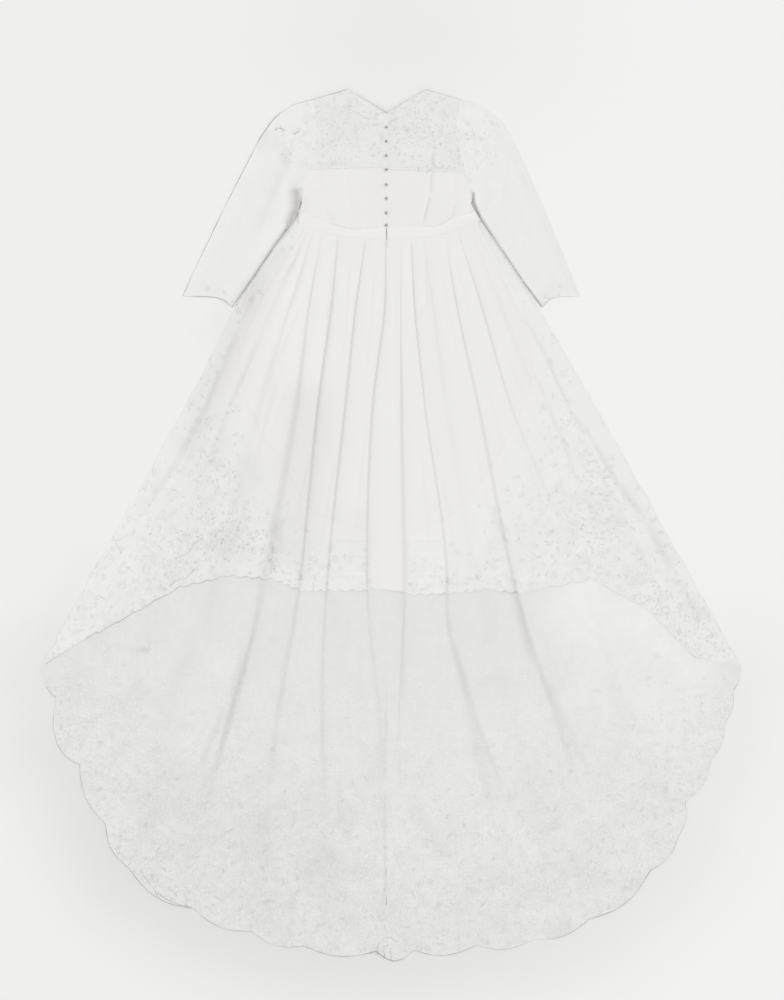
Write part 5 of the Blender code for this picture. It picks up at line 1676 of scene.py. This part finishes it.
# piece; radius; weights at the start and end; corners of the line
LINES_IN_LACE = [
    ("hem_border_left", 0.8, 0.5, 0.8, [
        (-584, -930), (-566, -908), (-540, -912), (-530, -892), (-518, -884)]),
    ("hem_border_left", 0.8, 0.4, 0.7, [(-470, -830), (-452, -812), (-466, -790), (-440, -776)]),
    ("hem_border_left", 0.9, 0.6, 0.4, [(-560, -850), (-530, -838), (-520, -812), (-496, -800)]),
    ("sleeve_tube_left", 1.3, 0.9, 0.5, [(-302, 300), (-291, 308), (-280, 304), (-274, 297)]),
    ("sleeve_tube_left", 1.1, 0.4, 1.0, [(-252, 276), (-250, 288), (-240, 296), (-228, 300)]),
    ("sleeve_tube_left", 0.8, 0.4, 0.6, [(-232, 272), (-222, 270), (-216, 276)]),
    ("sleeve_tube_right", 1.0, 0.4, 0.9, [(206, 292), (214, 289), (224, 282), (236, 286)]),
    ("sleeve_tube_right", 1.0, 0.8, 0.4, [(214, 276), (228, 278), (240, 286), (250, 284)]),
    ("sleeve_tube_right", 0.9, 0.4, 0.7, [(276, 330), (284, 322), (290, 312), (300, 318)]),
    ("lace_border", 0.9, 0.8, 0.6, [(-20, -1892), (-26, -1904), (-22, -1916), (-28, -1924)]),
    ("lace_border", 0.8, 0.4, 0.9, [(-6, -1900), (-9, -1914), (-4, -1926), (-8, -1934)]),
    ("lace_border", 0.7, 0.3, 0.7, [(12, -1906), (10, -1918), (14, -1930), (10, -1938)]),
    ("lace_border", 0.7, 0.3, 0.6, [(30, -1902), (34, -1914), (31, -1922), (35, -1930)]),
    ("lace_border", 0.8, 0.6, 0.3, [(-14, -1884), (0, -1876), (14, -1878), (24, -1888)]),
    ("lace_border", 0.8, 0.5, 0.9, [
        (-664, -1694), (-640, -1738), (-602, -1772), (-562, -1790), (-526, -1796)]),
    ("lace_border", 0.7, 0.5, 0.7, [(78, -1908), (88, -1898), (98, -1908), (88, -1916), (80, -1908)]),
    ("lace_border", 0.7, 0.5, 0.7, [(102, -1906), (112, -1898), (120, -1908), (110, -1914), (104, -1906)]),
    ("bodice_lace_right", 0.6, 0.5, 0.8, [(76, 340), (84, 332), (96, 328), (108, 334)]),
    ("bodice_lace_left", 0.5, 0.3, 0.5, [(-140, 372), (-112, 362), (-78, 348), (-56, 334), (-44, 330)]),
    ("lace_border", 0.8, 0.4, 0.9, [(-2, -1690), (-1, -1720), (1, -1760), (-1, -1790)]),
]
for index, (cloth_name, radius, start, end, corners) in enumerate(LINES_IN_LACE, 1):
    run = on_surface(grids[cloth_name], bent(corners))
    make_cord(f"corded_line_{index}", [(run, np.linspace(start, end, len(run)))],
              radius, 0.02, 0.0006, cloth_name, 30 + index)
print(len(LINES_IN_LACE), "corded lines")

# %% [markdown]
# ## The lace's solids
# Each sheet's flat cut is measured and the solid that it stands for is hidden, after its
# trimmings are made. The table also names what each one rests on, from the floor up.

# %% Sheets of lace and tulle
LACE_SHEETS = [
    (train_tulle, train_points, "train_tulle", ["floor"]),
    (border, border_points, "train_border", ["floor"]),
    (placket, placket_points, "placket", ["bodice_lace_left", "bodice_lace_right"]),
    *[(piece, points, node, ["floor"]) for piece, points, node in overlays],
    *[(piece, points, node, [f"satin_panel_{node[9:]}"]) for piece, points, node in hem_laces],
    *[(piece, points, node, [f"satin_bodice_{node[10:]}"]) for piece, points, node in bodice_lace],
    *[(piece, points, node, [f"bodice_lace_{node[9:]}"]) for piece, points, node in neckbands],
]
for piece, points, node, rests in LACE_SHEETS:
    declare(points, node,
            slanted=node.startswith(("overlay", "hem_lace")))
for piece, points, node in sleeves:
    upper = points[:, :SLEEVE_ACROSS] if piece.name.endswith("left") else points[:, -SLEEVE_ACROSS:]
    declare(points, node, upper=upper)

# %% [markdown]
# ## The floor
# A plain pale floor shows only the broad soft shade round the train. Cloth that lies this low
# hardly shades it in soft light, so the shade is a number at each of its points, as on the
# cloth. The floor's grid is finer where the gown lies.

# %% The floor and its shade
FLOOR_REACH = 170.0  # how far the shade reaches from the train's edge
FLOOR_HALF, FINE_HALF = 9, 2.4  # half the floor, and half of its fine part, in metres
FLOOR_COLOUR, FLOOR_Z = (0.925, 0.925, 0.918), -0.0006
# share of the way round the train's edge, from the left; how deep the shade is there
SHADE_ROUND = [(0, 0.12), (0.1, 0.17), (0.16, 0.19), (0.5, 0.19), (0.62, 0.17), (0.7, 0.15),
               (0.83, 0.12), (0.91, 0.11), (1, 0.08)]
floor_lines = 1000 * np.unique(np.concatenate([
    np.linspace(-FLOOR_HALF, FLOOR_HALF, 7), np.linspace(-FINE_HALF, FINE_HALF, 97)]))
x, y = np.meshgrid(floor_lines, floor_lines[::-1])
points = np.stack([x, y, 0 * x], axis=-1)
edge_stops = chords[::40]
gaps = np.linalg.norm(points[:, :, None, :2] - edge_stops[None, None], axis=-1)
depth = np.interp(gaps.argmin(axis=2) / (len(edge_stops) - 1), *np.array(SHADE_ROUND).T)
shade = depth * np.exp(-(gaps.min(axis=2) / FLOOR_REACH) ** 2)
shade = shade + 0.03 * (1 - smooth((x + 700) / 1500))  # a little deeper on the left
shade += 0.07 * np.exp(-((x - 60) / 430) ** 2 - ((y - 560) / 260) ** 2)  # above the neck
shade += creases(points[..., :2], [  # beside the skirt on the left
    (-400, -120, -500, -330, 50, 50, 0.06, 3), (-740, -740, -960, -1180, 60, 50, 0.05, 3)])
floor_mesh = grid_mesh("floor", face_up(points))
note(floor_mesh, "shade", shade)
floor = new_object("floor", floor_mesh)
floor.location.z = FLOOR_Z
floor_finish, tree, shader, place = new_finish("pale_floor", 0.9, 0.0, FLOOR_COLOUR)
shaded(tree, shader, (*FLOOR_COLOUR, 1.0))
shader.inputs["Specular IOR Level"].default_value = 0.1
floor_mesh.materials.append(floor_finish)
print("floor of", len(floor_mesh.polygons), "faces, deepest shade", round(float(shade.max()), 2))

# %% [markdown]
# ## Light and camera
# White cloth needs light from all round, or it turns grey, and a weak broad light from the
# upper left, so that each fold has a bright and a dark side. The camera looks straight down
# with a long lens, so nothing leans outwards in the view.

# %% A white room, a broad window and a camera straight above
world = bpy.data.worlds.new("soft_room")
world.use_nodes = True
room = world.node_tree.nodes["Background"]
room.inputs["Color"].default_value = (1.0, 1.0, 1.0, 1.0)
room.inputs["Strength"].default_value = 0.80
bpy.context.scene.world = world

key = bpy.data.lights.new("window", 'SUN')
key.energy, key.angle = 0.62, math.radians(50)
window = new_object("window", key)
window.rotation_euler = (math.radians(-24), math.radians(-26), 0.0)

VIEW_X, VIEW_Y, VIEW_HIGH = 0.01485, -0.6966, 6.0  # from the centre back of the waist
camera = new_object("camera", bpy.data.cameras.new("camera"))
camera.data.lens, camera.data.sensor_width = 80.0, 36.0
camera.location = (CENTRE_X + VIEW_X, WAIST_Y + VIEW_Y, VIEW_HIGH)
bpy.context.scene.camera = camera
bpy.context.scene.view_settings.view_transform = 'Standard'
print("camera at", [round(value, 3) for value in camera.location])
